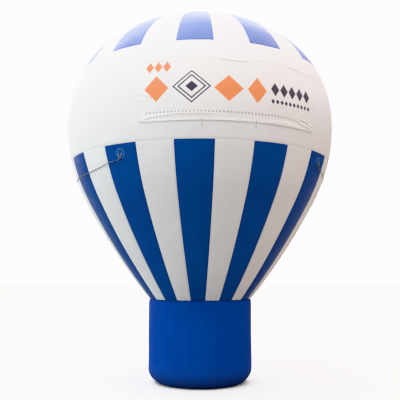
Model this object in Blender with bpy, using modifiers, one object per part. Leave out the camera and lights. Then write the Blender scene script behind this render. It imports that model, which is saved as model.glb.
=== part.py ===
# Cold-air inflatable in the shape of a hot-air balloon, standing on its own round base.
# Metres, +Z up. The origin is the middle of the base where it meets the floor.
# The front, where the banner is, faces -Y. A bearing is the angle from the front towards +X.

import math

import bmesh
import bpy
from mathutils import Matrix, Vector

# The whole inflatable
TOTAL_HEIGHT = 5.0
SKIN = 0.010  # thickness of the inflated wall
GAP = 0.0003  # between pieces that touch
GORES = 24  # panels round the envelope, in turn white and blue, with a white one in front
FACETS = 3  # flat strips across each gore
FACET_ANGLE = math.radians(360 / GORES / FACETS)
GORE_ANGLE = FACETS * FACET_ANGLE

# Side view of the envelope, from its top down, as arcs that run smoothly into each other
ENVELOPE_ARCS = (
    # radius, degrees turned
    (2.172, 33.34),
    (1.414, 56.68),
    (2.273, 28.29),
    (8.046, 11.04),
)

# Heights of the seams and of the banner on the envelope
CAP_RADIUS = 0.22
CAP_THICKNESS = 0.003
CROWN_LINE = 4.11
BANNER_TOP = 3.88
BANNER_BOTTOM = 3.13
STRIPE_LINE = 2.928
CROWN_ROWS = 6
BANNER_ROWS = 3
STRIPE_ROWS_ROUND = 2
STRIPE_ROWS_STRAIGHT = 3

# Banner
BANNER_HALF_ANGLE = math.radians(35.3)
BANNER_THICKNESS = 0.005

# Base
BASE_ROUNDING = 0.195
BASE_ROUNDING_ROWS = 3

# Anchor patches with a D-ring, on four blue gores
ANCHOR_BEARINGS = (
    # name, degrees
    ("front_left", -45),
    ("front_right", 45),
    ("rear_right", 135),
    ("rear_left", -135),
)
ANCHOR_HEIGHT = 2.82
PATCH_RADIUS = 0.065
PATCH_THICKNESS = 0.003
WEB_WIDTH = 0.030
WEB_LENGTH = 0.056
WEB_THICKNESS = 0.0025
RING_WIRE = 0.003  # radius of the ring's wire
RING_HALF_WIDTH = 0.023
RING_CORNER = 0.006
RING_LEG = 0.010  # straight length between the bar's corner and the round end
TUNNEL_BORE = RING_WIRE + 0.0005
TUNNEL_HEIGHT = 2 * (TUNNEL_BORE + WEB_THICKNESS)

# Stowed guy lines, each tied from a front ring round the side to a rear ring
LINE_RADIUS = 0.004
LINE_STEPS = 2  # between two points of the route
LINE_ROUTE = (
    # degrees past the ring, drop below the ring's foot, distance from the skin
    (0.00, 0.0005, 0.0144),
    (0.00, 0.0110, 0.0144),
    (0.35, 0.0220, 0.0110),
    (1.50, 0.0320, 0.0070),
    (4.50, 0.0420, 0.0058),
    (8.00, 0.0570, 0.0056),
    (13.5, 0.0870, 0.0056),
    (21.5, 0.1120, 0.0056),
    (30.0, 0.1190, 0.0056),
    (37.5, 0.1215, 0.0056),
    (45.0, 0.1220, 0.0056),
)

# Blower, behind the base
BLOWER_Y = 1.38
BLOWER_Z = 0.22
HOUSING_WIDTH = 0.22
HOUSING_WALL = 0.006
SCROLL_START = 0.165
SCROLL_END = 0.225
DUCT_HEIGHT = 0.13
DUCT_REACH = 0.26
SCROLL_STEPS = 24
FOOT_LENGTH = 0.050
FOOT_WIDTH = 0.196
FOOT_SPREAD = 0.115
INTAKE_RADIUS = 0.105
SHAFT_HOLE = 0.020

# Impeller
WHEEL_RADIUS = 0.135
WHEEL_BACK = -0.066
WHEEL_FRONT = 0.064
PLATE = 0.004
BLADES = 24
BLADE_DEPTH = 0.026
BLADE_THICKNESS = 0.003
BLADE_PITCH = math.radians(28)
HUB_RADIUS = 0.022
HUB_LENGTH = 0.030
SHAFT_RADIUS = 0.008
SHAFT_END = -0.165

# Motor and switch box on the blower's left side, grille on its right side
MOTOR_RADIUS = 0.070
MOTOR_LENGTH = 0.105
MOTOR_CHAMFER = 0.012
MOTOR_BORE = SHAFT_RADIUS + 0.0005
BOX_SIZE = (0.040, 0.090, 0.060)
BOX_OFFSET = (0.100, 0.135)  # back and up from the blower's axis
GLAND_RADIUS = 0.009
GLAND_LENGTH = 0.020
GRILLE_RADIUS = 0.122
GRILLE_THICKNESS = 0.005
GRILLE_BAR = 0.005
GRILLE_RINGS = (0.030, 0.055, 0.080, 0.1035)
GRILLE_SPOKES = 8
ROUND = 32  # sides of a small round piece

# Handle on the blower
HANDLE_RADIUS = 0.011
HANDLE_LENGTH = 0.150
HANDLE_RISE = 0.052
HANDLE_BEND = 0.026
HANDLE_FRONT = -0.200  # its front post, from the blower's axis

# Inflation sleeve between the base and the blower's duct
SLEEVE_WALL = 0.004
SLEEVE_HOLE = 0.1305
SLEEVE_CORNER_POINTS = 6
SLEEVE_Z = BLOWER_Z + SCROLL_END - DUCT_HEIGHT / 2
DUCT_FIT = 2 * GAP + SLEEVE_WALL  # from the duct to the outside of the sleeve round it
DUCT_CORNER = SLEEVE_WALL + 0.001
SLEEVE_SECTIONS = (
    # y, half width, half height, corner radius
    (0.662, 0.1297, 0.1297, 0.1297),
    (0.725, 0.1297, 0.1297, 0.1297),
    (0.790, 0.1360, 0.1350, 0.1340),
    (0.920, 0.1370, 0.1260, 0.1160),
    (1.040, 0.1260, 0.0960, 0.0640),
    (1.112, HOUSING_WIDTH / 2 + DUCT_FIT, DUCT_HEIGHT / 2 + DUCT_FIT, DUCT_CORNER),
    (1.160, HOUSING_WIDTH / 2 + DUCT_FIT, DUCT_HEIGHT / 2 + DUCT_FIT, DUCT_CORNER),
)
STRAP_THICKNESS = 0.0025
STRAP_SPAN = (1.124, 1.150)

MATERIALS = {
    # name: colour, roughness, metallic
    "white_fabric": ((0.86, 0.86, 0.84), 0.45, 0.0),
    "blue_fabric": ((0.012, 0.090, 0.380), 0.40, 0.0),
    "banner_fabric": ((0.84, 0.83, 0.80), 0.60, 0.0),
    "blue_webbing": ((0.020, 0.100, 0.360), 0.80, 0.0),
    "ring_steel": ((0.70, 0.70, 0.70), 0.25, 1.0),
    "line_rope": ((0.10, 0.11, 0.09), 0.90, 0.0),
    "strap_webbing": ((0.03, 0.03, 0.03), 0.85, 0.0),
    "blower_shell": ((0.015, 0.060, 0.240), 0.45, 0.0),
    "blower_dark": ((0.030, 0.030, 0.032), 0.50, 0.0),
    "motor_paint": ((0.06, 0.06, 0.065), 0.40, 0.6),
    "grille_steel": ((0.55, 0.55, 0.56), 0.30, 1.0),
}


def start_scene():
    """Empties the scene and makes the collections for the parts and for the cutters."""
    for old in list(bpy.data.objects):
        bpy.data.objects.remove(old)
    made = []
    for name in ("balloon_inflatable", "cutters"):
        collection = bpy.data.collections.new(name)
        bpy.context.scene.collection.children.link(collection)
        made.append(collection)
    return made


PARTS, CUTTERS = start_scene()


def material(name):
    """The named material, made the first time that it is asked for."""
    found = bpy.data.materials.get(name)
    if found:
        return found
    colour, roughness, metallic = MATERIALS[name]
    made = bpy.data.materials.new(name)
    made.use_nodes = True
    shader = made.node_tree.nodes["Principled BSDF"]
    shader.inputs["Base Color"].default_value = (*colour, 1.0)
    shader.inputs["Roughness"].default_value = roughness
    shader.inputs["Metallic"].default_value = metallic
    return made


def add(name, data, slot=None):
    """Links a new object to the parts, or to the cutters if it has no material."""
    made = bpy.data.objects.new(name, data)
    if slot is None:
        CUTTERS.objects.link(made)
        made.hide_render = True
        made.display_type = "WIRE"
    else:
        PARTS.objects.link(made)
        data.materials.append(material(slot))
    return made


def add_bmesh(name, bm, slot=None):
    """Turns a bmesh into an object with its faces pointing out."""
    bmesh.ops.recalc_face_normals(bm, faces=bm.faces)
    data = bpy.data.meshes.new(name)
    bm.to_mesh(data)
    bm.free()
    return add(name, data, slot)


def combine(target, tool, operation):
    """Cuts the tool out of the target, or joins it on."""
    modifier = target.modifiers.new(tool.name, "BOOLEAN")
    modifier.object = tool
    modifier.operation = operation
    modifier.solver = "EXACT"


def box(name, size, centre, slot=None):
    """A box by its size and its middle."""
    bm = bmesh.new()
    bmesh.ops.create_cube(bm, size=1.0)
    bmesh.ops.scale(bm, vec=size, verts=bm.verts)
    made = add_bmesh(name, bm, slot)
    made.location = centre
    return made


def cylinder(name, radius, length, slot=None, sides=ROUND):
    """A cylinder along its own Z, with its middle at its origin."""
    bm = bmesh.new()
    bmesh.ops.create_cone(
        bm, cap_ends=True, segments=sides, radius1=radius, radius2=radius, depth=length
    )
    return add_bmesh(name, bm, slot)


def turned(name, profile, slot=None, steps=ROUND, closed=False):
    """A profile of (radius, height) turned round Z. It runs down its outer side and up its inner one."""
    bm = bmesh.new()
    points = [bm.verts.new((r, 0, z)) for r, z in profile]
    ends = zip(points, points[1:] + points[:1] if closed else points[1:])
    for a, b in ends:
        bm.edges.new((a, b))
    data = bpy.data.meshes.new(name)
    bm.to_mesh(data)
    bm.free()
    made = add(name, data, slot)
    screw = made.modifiers.new("turn", "SCREW")
    screw.axis = "Z"
    screw.angle = 2 * math.pi
    screw.steps = screw.render_steps = steps
    screw.use_merge_vertices = True
    screw.merge_threshold = 0.00001
    return made


def outline(name, loops, depth, slot=None):
    """Closed flat outlines in the curve's own XY plane, extruded to a depth; inner loops are holes."""
    data = bpy.data.curves.new(name, "CURVE")
    data.dimensions = "2D"
    data.fill_mode = "BOTH"
    data.extrude = depth / 2
    for loop in loops:
        spline = data.splines.new("POLY")
        spline.points.add(len(loop) - 1)
        spline.use_cyclic_u = True
        for point, (x, y) in zip(spline.points, loop):
            point.co = (x, y, 0, 1)
    return add(name, data, slot)


def tube(name, points, radius, slot, cyclic=False, resolution=2):
    """A round tube along the points."""
    data = bpy.data.curves.new(name, "CURVE")
    data.dimensions = "3D"
    data.bevel_depth = radius
    data.bevel_resolution = resolution
    data.use_fill_caps = not cyclic
    spline = data.splines.new("POLY")
    spline.points.add(len(points) - 1)
    spline.use_cyclic_u = cyclic
    for point, place in zip(spline.points, points):
        point.co = (*place, 1)
    return add(name, data, slot)


def as_mesh(curve, slot=None):
    """Replaces a curve by its mesh, with its loose caps welded on."""
    name, place = curve.name, curve.matrix_world.copy()
    shape = curve.evaluated_get(bpy.context.evaluated_depsgraph_get())
    data = bpy.data.meshes.new_from_object(shape)
    bpy.data.objects.remove(curve)
    bm = bmesh.new()
    bm.from_mesh(data)
    bmesh.ops.remove_doubles(bm, verts=bm.verts, dist=0.00001)
    bpy.data.meshes.remove(data)
    made = add_bmesh(name, bm, slot)
    made.matrix_world = place
    return made


def arc_points(centre, radius, start, end, steps):
    """Points on an arc in a plane, by its angles in degrees."""
    angles = [math.radians(start + (end - start) * i / steps) for i in range(steps + 1)]
    return [(centre[0] + radius * math.cos(a), centre[1] + radius * math.sin(a)) for a in angles]


# Envelope


def envelope_point(turn, outset=0.0):
    """(radius, height) where the side view has turned by so much, moved outwards by the outset."""
    r, z, begun = 0.0, TOTAL_HEIGHT, 0.0
    for radius, degrees in ENVELOPE_ARCS:
        end = min(turn, begun + math.radians(degrees))
        r += radius * (math.sin(end) - math.sin(begun))
        z -= radius * (math.cos(begun) - math.cos(end))
        begun = end
    return r + outset * math.sin(turn), z + outset * math.cos(turn)


def turn_after(arcs):
    """How far the side view has turned after its first few arcs."""
    return math.radians(sum(degrees for _, degrees in ENVELOPE_ARCS[:arcs]))


def turn_at(height):
    """How far the side view has turned at a height, by halving the interval."""
    low, high = 0.0, turn_after(len(ENVELOPE_ARCS))
    for _ in range(50):
        middle = (low + high) / 2
        if envelope_point(middle)[1] > height:
            low = middle
        else:
            high = middle
    return (low + high) / 2


def rows(start, end, count):
    """The turns that divide a stretch of the side view into equal rows."""
    return [start + (end - start) * i / count for i in range(count + 1)]


CAP_TURN = math.asin(CAP_RADIUS / ENVELOPE_ARCS[0][0])
CROWN_TURN = turn_at(CROWN_LINE)
STRIPE_TURN = turn_at(STRIPE_LINE)
STRAIGHT_TURN = turn_after(3)
THROAT_TURN = turn_after(4)
THROAT_RADIUS, THROAT_HEIGHT = envelope_point(THROAT_TURN)
# Half a gap as a turn, on the arc that each seam lies on
CAP_STEP = GAP / 2 / ENVELOPE_ARCS[0][0]
CROWN_STEP = GAP / 2 / ENVELOPE_ARCS[1][0]
STRIPE_STEP = GAP / 2 / ENVELOPE_ARCS[2][0]

BANNER_TURNS = rows(turn_at(BANNER_TOP), turn_at(BANNER_BOTTOM), BANNER_ROWS)
STRIPE_TURNS = (
    rows(STRIPE_TURN + STRIPE_STEP, STRAIGHT_TURN, STRIPE_ROWS_ROUND)
    + rows(STRAIGHT_TURN, THROAT_TURN, STRIPE_ROWS_STRAIGHT)[1:]
)


def skin_loop(turns, outset=0.0, thickness=SKIN):
    """The closed section of a skin, down its outer side and back up its inner one."""
    down = [envelope_point(t, outset) for t in turns]
    back = [envelope_point(t, outset - thickness) for t in reversed(turns)]
    return down + back


def outward(bearing):
    return Vector((math.sin(bearing), -math.cos(bearing), 0))


def along(bearing):
    return Vector((math.cos(bearing), math.sin(bearing), 0))


def wedge(name, loop, bearing, facets, half_angle, inset, slot=None):
    """A closed section swept round the axis over whole facets, then trimmed by a plane on each side."""
    bm = bmesh.new()
    start = bearing - facets * FACET_ANGLE / 2
    place = Matrix.Rotation(start - math.pi / 2, 4, "Z")
    points = [bm.verts.new(place @ Vector((r, 0, z))) for r, z in loop]
    edges = [bm.edges.new(pair) for pair in zip(points, points[1:] + points[:1])]
    bmesh.ops.spin(
        bm, geom=points + edges, cent=(0, 0, 0), axis=(0, 0, 1), angle=facets * FACET_ANGLE, steps=facets
    )
    for side in (-1, 1):
        across = along(bearing + side * half_angle) * side
        bmesh.ops.bisect_plane(
            bm,
            geom=bm.verts[:] + bm.edges[:] + bm.faces[:],
            plane_co=-across * inset,
            plane_no=across,
            clear_outer=True,
        )
    bmesh.ops.holes_fill(bm, edges=[e for e in bm.edges if e.is_boundary], sides=0)
    return add_bmesh(name, bm, slot)


def gore(name, turns, number, slot):
    """One panel between two seams, by its number from the front."""
    return wedge(name, skin_loop(turns), number * GORE_ANGLE, FACETS, GORE_ANGLE / 2, GAP / 2, slot)


def ring(name, loop, slot):
    """A closed section turned all the way round, with its facets in line with the gores."""
    made = turned(name, loop, slot, GORES * FACETS, closed=True)
    made.rotation_euler.z = -FACET_ANGLE / 2
    return made


def make_crown():
    """The white crown with a window for each of its blue gores, the blue gores, and the cap over the top."""
    crown_turns = rows(CAP_TURN, CROWN_TURN - CROWN_STEP, CROWN_ROWS)
    crown = turned("white_crown", skin_loop([0.0, *crown_turns]), "white_fabric", GORES * FACETS)
    crown.rotation_euler.z = -FACET_ANGLE / 2
    cap_loop = skin_loop([0.0, CAP_TURN], GAP + CAP_THICKNESS, CAP_THICKNESS)
    cap = turned("crown_cap", cap_loop, "blue_fabric", GORES * FACETS)
    cap.rotation_euler.z = -FACET_ANGLE / 2

    window_turns = rows(CAP_TURN + CAP_STEP, CROWN_TURN + CROWN_STEP, CROWN_ROWS)
    blue_turns = [CAP_TURN + 3 * CAP_STEP, *crown_turns[1:]]
    for number in range(1, GORES, 2):
        window = wedge(
            f"crown_window_{number}",
            skin_loop(window_turns, 2 * SKIN, 5 * SKIN),
            number * GORE_ANGLE,
            FACETS + 2,
            GORE_ANGLE / 2,
            -GAP / 2,
        )
        combine(crown, window, "DIFFERENCE")
        gore(f"crown_blue_gore_{(number + 1) // 2:02d}", blue_turns, number, "blue_fabric")


def make_band():
    """The white band between the crown and the stripes."""
    band_turns = [CROWN_TURN + CROWN_STEP, *BANNER_TURNS, STRIPE_TURN - STRIPE_STEP]
    ring("white_band", skin_loop(band_turns), "white_fabric")


def make_stripes():
    """The blue and white gores from the stripe line down to the throat."""
    for number in range(GORES):
        blue = number % 2 == 1
        name = f"lower_{'blue' if blue else 'white'}_gore_{number // 2 + 1:02d}"
        gore(name, STRIPE_TURNS, number, "blue_fabric" if blue else "white_fabric")


def make_banner():
    """The banner over the front of the white band."""
    loop = skin_loop(BANNER_TURNS, GAP + BANNER_THICKNESS, BANNER_THICKNESS)
    facets = 2 * math.ceil(BANNER_HALF_ANGLE / FACET_ANGLE) + 1
    wedge("banner", loop, 0.0, facets, BANNER_HALF_ANGLE, 0.0, "banner_fabric")


# Base


def make_base():
    """The upright wall with a hole at the back for the sleeve, and the floor with its rounded edge."""
    inner = THROAT_RADIUS - SKIN
    top, bottom = THROAT_HEIGHT - GAP, BASE_ROUNDING + GAP / 2
    wall = ring(
        "base_wall",
        [(THROAT_RADIUS, top), (THROAT_RADIUS, bottom), (inner, bottom), (inner, top)],
        "blue_fabric",
    )
    hole = cylinder("sleeve_hole", SLEEVE_HOLE, 0.3, sides=48)
    hole.rotation_euler.x = math.pi / 2
    hole.location = (0, THROAT_RADIUS, SLEEVE_Z)
    combine(wall, hole, "DIFFERENCE")

    centre = (THROAT_RADIUS - BASE_ROUNDING, BASE_ROUNDING)
    rim = BASE_ROUNDING - GAP / 2
    inner_side = arc_points(centre, BASE_ROUNDING - SKIN, -90, 0, BASE_ROUNDING_ROWS)
    outer_side = arc_points(centre, BASE_ROUNDING, 0, -90, BASE_ROUNDING_ROWS)
    inner_side[-1] = (inner, rim)
    outer_side[0] = (THROAT_RADIUS, rim)
    floor = turned(
        "base_floor",
        [(0, SKIN)] + inner_side + outer_side + [(0, 0)],
        "blue_fabric",
        GORES * FACETS,
    )
    floor.rotation_euler.z = -FACET_ANGLE / 2


# Anchors


def patch_frame(bearing):
    """Where an anchor patch lies on its gore: X along the skin, Y up it and Z out of it."""
    (high_r, high_z), (low_r, low_z) = (envelope_point(t) for t in STRIPE_TURNS[:2])
    share = (high_z - ANCHOR_HEIGHT) / (high_z - low_z)
    flat = math.cos(FACET_ANGLE / 2)
    radius = (high_r + (low_r - high_r) * share) * flat
    up = (outward(bearing) * (high_r - low_r) * flat + Vector((0, 0, high_z - low_z))).normalized()
    across = along(bearing)
    out = across.cross(up)
    place = Matrix((across, up, out)).transposed().to_4x4()
    place.translation = outward(bearing) * radius + Vector((0, 0, ANCHOR_HEIGHT)) + out * GAP
    return place


def ring_bar(bearing):
    """The middle of the ring's straight bar, inside the tunnel of the patch's webbing."""
    return patch_frame(bearing) @ Vector((0, 0, PATCH_THICKNESS + TUNNEL_HEIGHT / 2))


RING_DROP = RING_LEG + RING_HALF_WIDTH  # from the bar down to the foot of the ring


def make_anchor(name, bearing):
    """A round patch with a loop of webbing, and the D-ring that hangs in the loop."""
    place = patch_frame(bearing)
    patch = cylinder(f"anchor_patch_{name}", PATCH_RADIUS, PATCH_THICKNESS, "blue_webbing", 24)
    patch.matrix_world = place @ Matrix.Translation((0, 0, PATCH_THICKNESS / 2))

    sunk = PATCH_THICKNESS / 2  # how far the webbing is let into the patch before they are joined
    rise = sunk + WEB_THICKNESS
    web = box(f"web_{name}", (WEB_WIDTH, WEB_LENGTH, rise), (0, 0, 0))
    web.matrix_world = place @ Matrix.Translation((0, 0, sunk + rise / 2))
    rise = sunk + TUNNEL_HEIGHT
    tunnel = box(f"tunnel_{name}", (WEB_WIDTH - 0.002, TUNNEL_HEIGHT, rise), (0, 0, 0))
    tunnel.matrix_world = place @ Matrix.Translation((0, 0, sunk + rise / 2))
    bore = cylinder(f"tunnel_bore_{name}", TUNNEL_BORE, 2 * WEB_WIDTH, sides=16)
    bore.matrix_world = Matrix.Translation(ring_bar(bearing)) @ place.to_quaternion().to_matrix().to_4x4()
    bore.matrix_world = bore.matrix_world @ Matrix.Rotation(math.pi / 2, 4, "Y")
    combine(patch, web, "UNION")
    combine(patch, tunnel, "UNION")
    combine(patch, bore, "DIFFERENCE")

    inside = RING_HALF_WIDTH - RING_CORNER
    loop = (
        arc_points((inside, -RING_CORNER), RING_CORNER, 90, 0, 2)
        + arc_points((0, -RING_LEG), RING_HALF_WIDTH, 0, -180, 8)
        + arc_points((-inside, -RING_CORNER), RING_CORNER, 180, 90, 2)
    )
    points = [along(bearing) * x + Vector((0, 0, z)) for x, z in loop]
    d_ring = tube(f"d_ring_{name}", points, RING_WIRE, "ring_steel", cyclic=True, resolution=1)
    d_ring.location = ring_bar(bearing)


# Guy lines


def smooth(points):
    """A smooth curve through the points, as a few steps for each stretch between two of them."""
    padded = [2 * points[0] - points[1], *points, 2 * points[-1] - points[-2]]
    result = []
    for a, b, c, d in zip(padded, padded[1:], padded[2:], padded[3:]):
        for i in range(LINE_STEPS):
            t = i / LINE_STEPS
            slope, bend, twist = c - a, 2 * a - 5 * b + 4 * c - d, 3 * b - a - 3 * c + d
            result.append(b + (slope * t + bend * t**2 + twist * t**3) / 2)
    result.append(points[-1])
    return result


def skin_radius(height):
    return envelope_point(turn_at(height))[0]


def make_line(name, side):
    """A line that hangs in a shallow arc along the skin, from the front ring to the rear ring of one side."""
    foot = ring_bar(math.radians(side * ANCHOR_BEARINGS[1][1])).z - RING_DROP - RING_WIRE
    half = [(math.radians(45 + past), foot - drop, away) for past, drop, away in LINE_ROUTE]
    back = [(math.pi - bearing, height, away) for bearing, height, away in reversed(half[:-1])]
    route = []
    for bearing, height, away in half + back:
        place = outward(side * bearing) * (skin_radius(height) + away)
        route.append(place + Vector((0, 0, height)))
    tube(name, smooth(route), LINE_RADIUS, "line_rope")


# Inflation sleeve


def rounded_loop(half_width, half_height, corner, y):
    """A rectangle with round corners across the sleeve; with equal sizes it is a circle."""
    points = []
    steps = SLEEVE_CORNER_POINTS - 1
    margin = 90 / SLEEVE_CORNER_POINTS / 2
    for x_side, z_side, start in ((1, 1, 0), (-1, 1, 90), (-1, -1, 180), (1, -1, 270)):
        centre = (x_side * (half_width - corner), z_side * (half_height - corner))
        points += arc_points(centre, corner, start + margin, start + 90 - margin, steps)
    return [Vector((x, y, SLEEVE_Z + z)) for x, z in points]


def loft_tube(name, sections, wall, slot):
    """A hollow tube through rounded sections, each of (y, half width, half height, corner radius)."""
    bm = bmesh.new()
    loops = [rounded_loop(w, h, c, y) for y, w, h, c in sections]
    loops += [rounded_loop(w - wall, h - wall, c - wall, y) for y, w, h, c in reversed(sections)]
    rings = [[bm.verts.new(p) for p in loop] for loop in loops]
    for near, far in zip(rings, rings[1:] + rings[:1]):
        for i in range(len(near)):
            j = (i + 1) % len(near)
            bm.faces.new((near[i], near[j], far[j], far[i]))
    return add_bmesh(name, bm, slot)


def sleeve_size(y):
    """The sleeve's half width, half height and corner radius at a place between two of its sections."""
    for (y1, *first), (y2, *second) in zip(SLEEVE_SECTIONS, SLEEVE_SECTIONS[1:]):
        if y1 <= y <= y2:
            share = (y - y1) / (y2 - y1)
            return [a + (b - a) * share for a, b in zip(first, second)]


def make_sleeve():
    """The sleeve, and the strap that holds it on the blower's duct."""
    loft_tube("inflation_sleeve", SLEEVE_SECTIONS, SLEEVE_WALL, "blue_fabric")
    extra = GAP + STRAP_THICKNESS
    sections = [(y, *(size + extra for size in sleeve_size(y))) for y in STRAP_SPAN]
    loft_tube("sleeve_strap", sections, STRAP_THICKNESS, "strap_webbing")


# Blower


def scroll_outline(inset=0.0, reach=DUCT_REACH):
    """The blower's spiral with its duct, from the side: x towards the base, y up."""
    low = SCROLL_END - DUCT_HEIGHT
    tongue = math.degrees(math.asin(low / SCROLL_START))
    sweep = tongue + 270
    points = []
    for i in range(SCROLL_STEPS + 1):
        share = i / SCROLL_STEPS
        radius = SCROLL_START + (SCROLL_END - SCROLL_START) * share - inset
        angle = math.radians(tongue - sweep * share)
        points.append((radius * math.cos(angle), radius * math.sin(angle)))
    points.append((reach, SCROLL_END - inset))
    points.append((reach, low + inset))
    return points


def stand_up(curve):
    """Turns a flat outline so that its x points to the base and its y up."""
    across = Vector((1, 0, 0))
    curve.matrix_world = Matrix((-Vector((0, 1, 0)), Vector((0, 0, 1)), -across)).transposed().to_4x4()
    curve.location = (0, BLOWER_Y, BLOWER_Z)
    bpy.context.view_layer.update()


def make_housing():
    """The spiral housing with its duct, feet, intake and shaft hole."""
    solid = outline("blower_housing", [scroll_outline()], HOUSING_WIDTH, "blower_shell")
    stand_up(solid)
    housing = as_mesh(solid, "blower_shell")

    for name, side in (("front", -1), ("rear", 1)):
        height = BLOWER_Z - SCROLL_START / 2
        foot = box(
            f"{name}_foot",
            (FOOT_WIDTH, FOOT_LENGTH, height),
            (0, BLOWER_Y + side * FOOT_SPREAD, height / 2),
        )
        combine(housing, foot, "UNION")

    hollow = outline(
        "housing_hollow",
        [scroll_outline(HOUSING_WALL, 2 * DUCT_REACH)],
        HOUSING_WIDTH - 2 * HOUSING_WALL,
    )
    stand_up(hollow)
    combine(housing, as_mesh(hollow), "DIFFERENCE")

    for name, radius, side in (("intake", INTAKE_RADIUS, 1), ("shaft_hole", SHAFT_HOLE, -1)):
        hole = cylinder(name, radius, HOUSING_WIDTH / 2)
        hole.rotation_euler.y = math.pi / 2
        hole.location = (side * HOUSING_WIDTH / 2, BLOWER_Y, BLOWER_Z)
        combine(housing, hole, "DIFFERENCE")


def on_axis(piece):
    """Lays a turned piece on the blower's axis, with its own Z along +X."""
    piece.rotation_euler.y = math.pi / 2
    piece.location = (0, BLOWER_Y, BLOWER_Z)
    return piece


def make_impeller():
    """A cage of blades on a back plate, with its hub and the shaft that runs into the motor."""
    wheel = turned(
        "blower_impeller",
        [
            (0, SHAFT_END),
            (SHAFT_RADIUS, SHAFT_END),
            (SHAFT_RADIUS, WHEEL_BACK - 2 * PLATE),
            (HUB_RADIUS, WHEEL_BACK - 2 * PLATE),
            (HUB_RADIUS, WHEEL_BACK),
            (WHEEL_RADIUS, WHEEL_BACK),
            (WHEEL_RADIUS, WHEEL_BACK + PLATE),
            (HUB_RADIUS, WHEEL_BACK + PLATE),
            (HUB_RADIUS, WHEEL_BACK + HUB_LENGTH),
            (0, WHEEL_BACK + HUB_LENGTH),
        ][::-1],
        "blower_dark",
    )
    on_axis(wheel)

    bm = bmesh.new()
    length = WHEEL_FRONT - WHEEL_BACK - PLATE
    for i in range(BLADES):
        made = bmesh.ops.create_cube(bm, size=1.0)["verts"]
        bmesh.ops.scale(bm, vec=(BLADE_DEPTH, BLADE_THICKNESS, length), verts=made)
        place = (
            Matrix.Rotation(2 * math.pi * i / BLADES, 4, "Z")
            @ Matrix.Translation((WHEEL_RADIUS - BLADE_DEPTH / 2, 0, (WHEEL_BACK + WHEEL_FRONT) / 2))
            @ Matrix.Rotation(BLADE_PITCH, 4, "Z")
        )
        bmesh.ops.transform(bm, matrix=place, verts=made)
    blades = on_axis(add_bmesh("blades", bm))
    combine(wheel, blades, "UNION")

    inner = WHEEL_RADIUS - BLADE_DEPTH
    hoop = turned(
        "front_hoop",
        [
            (WHEEL_RADIUS, WHEEL_FRONT),
            (WHEEL_RADIUS, WHEEL_FRONT - 2 * PLATE),
            (inner, WHEEL_FRONT - 2 * PLATE),
            (inner, WHEEL_FRONT),
        ],
        closed=True,
    )
    combine(wheel, on_axis(hoop), "UNION")


def make_motor():
    """The motor on the closed side, with a bore for the shaft."""
    near = -HOUSING_WIDTH / 2 - GAP
    far = near - MOTOR_LENGTH
    bottom = SHAFT_END - 2 * PLATE
    motor = turned(
        "blower_motor",
        [
            (0, bottom),
            (MOTOR_BORE, bottom),
            (MOTOR_BORE, near),
            (MOTOR_RADIUS, near),
            (MOTOR_RADIUS, far + MOTOR_CHAMFER),
            (MOTOR_RADIUS - MOTOR_CHAMFER, far),
            (0, far),
        ],
        "motor_paint",
    )
    on_axis(motor)


def make_switch_box():
    """The switch box on the closed side of the housing, with the gland for its cable."""
    back, up = BOX_OFFSET
    x = -HOUSING_WIDTH / 2 - GAP - BOX_SIZE[0] / 2
    centre = Vector((x, BLOWER_Y + back, BLOWER_Z + up))
    switch_box = box("blower_switch_box", BOX_SIZE, centre, "blower_dark")
    gland = cylinder("cable_gland", GLAND_RADIUS, GLAND_LENGTH + BOX_SIZE[2] / 2, sides=16)
    gland.location = centre - Vector((0, 0, BOX_SIZE[2] / 2 + GLAND_LENGTH / 2 - BOX_SIZE[2] / 4))
    combine(switch_box, gland, "UNION")


def make_grille():
    """A round guard of rings and spokes over the intake."""
    loops = [arc_points((0, 0), GRILLE_RADIUS, 0, 360 - 360 / ROUND, ROUND - 1)]
    half_bar = GRILLE_BAR / 2
    for inner, outer in zip(GRILLE_RINGS, GRILLE_RINGS[1:]):
        low, high = inner + half_bar, outer - half_bar
        for i in range(GRILLE_SPOKES):
            middle = 360 * i / GRILLE_SPOKES
            low_half = 180 / GRILLE_SPOKES - math.degrees(half_bar / low)
            high_half = 180 / GRILLE_SPOKES - math.degrees(half_bar / high)
            loops.append(
                arc_points((0, 0), high, middle - high_half, middle + high_half, 4)
                + arc_points((0, 0), low, middle + low_half, middle - low_half, 2)
            )
    grille = outline("intake_grille", loops, GRILLE_THICKNESS, "grille_steel")
    stand_up(grille)
    grille.location.x = HOUSING_WIDTH / 2 + GAP + GRILLE_THICKNESS / 2


def make_handle():
    """A bent tube along the flat top of the duct."""
    low = BLOWER_Z + SCROLL_END + GAP
    top = low + HANDLE_RISE
    front = BLOWER_Y + HANDLE_FRONT
    rear = front + HANDLE_LENGTH
    path = (
        [(front, low)]
        + arc_points((front + HANDLE_BEND, top - HANDLE_BEND), HANDLE_BEND, 180, 90, 4)
        + arc_points((rear - HANDLE_BEND, top - HANDLE_BEND), HANDLE_BEND, 90, 0, 4)
        + [(rear, low)]
    )
    tube("blower_handle", [(0, y, z) for y, z in path], HANDLE_RADIUS, "blower_dark", resolution=3)


make_crown()
make_band()
make_stripes()
make_banner()
make_base()
for anchor_name, anchor_bearing in ANCHOR_BEARINGS:
    make_anchor(anchor_name, math.radians(anchor_bearing))
make_line("guy_line_left", -1)
make_line("guy_line_right", 1)
make_sleeve()
make_housing()
make_impeller()
make_motor()
make_switch_box()
make_grille()
make_handle()
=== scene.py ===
# Looks of a cold-air inflatable in the shape of a hot-air balloon, built round its fixed frame.
# Metres, +Z up. A bearing is the angle from the front (-Y) towards +X, a run the length down the side view.
import math
from functools import partialmethod

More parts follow.
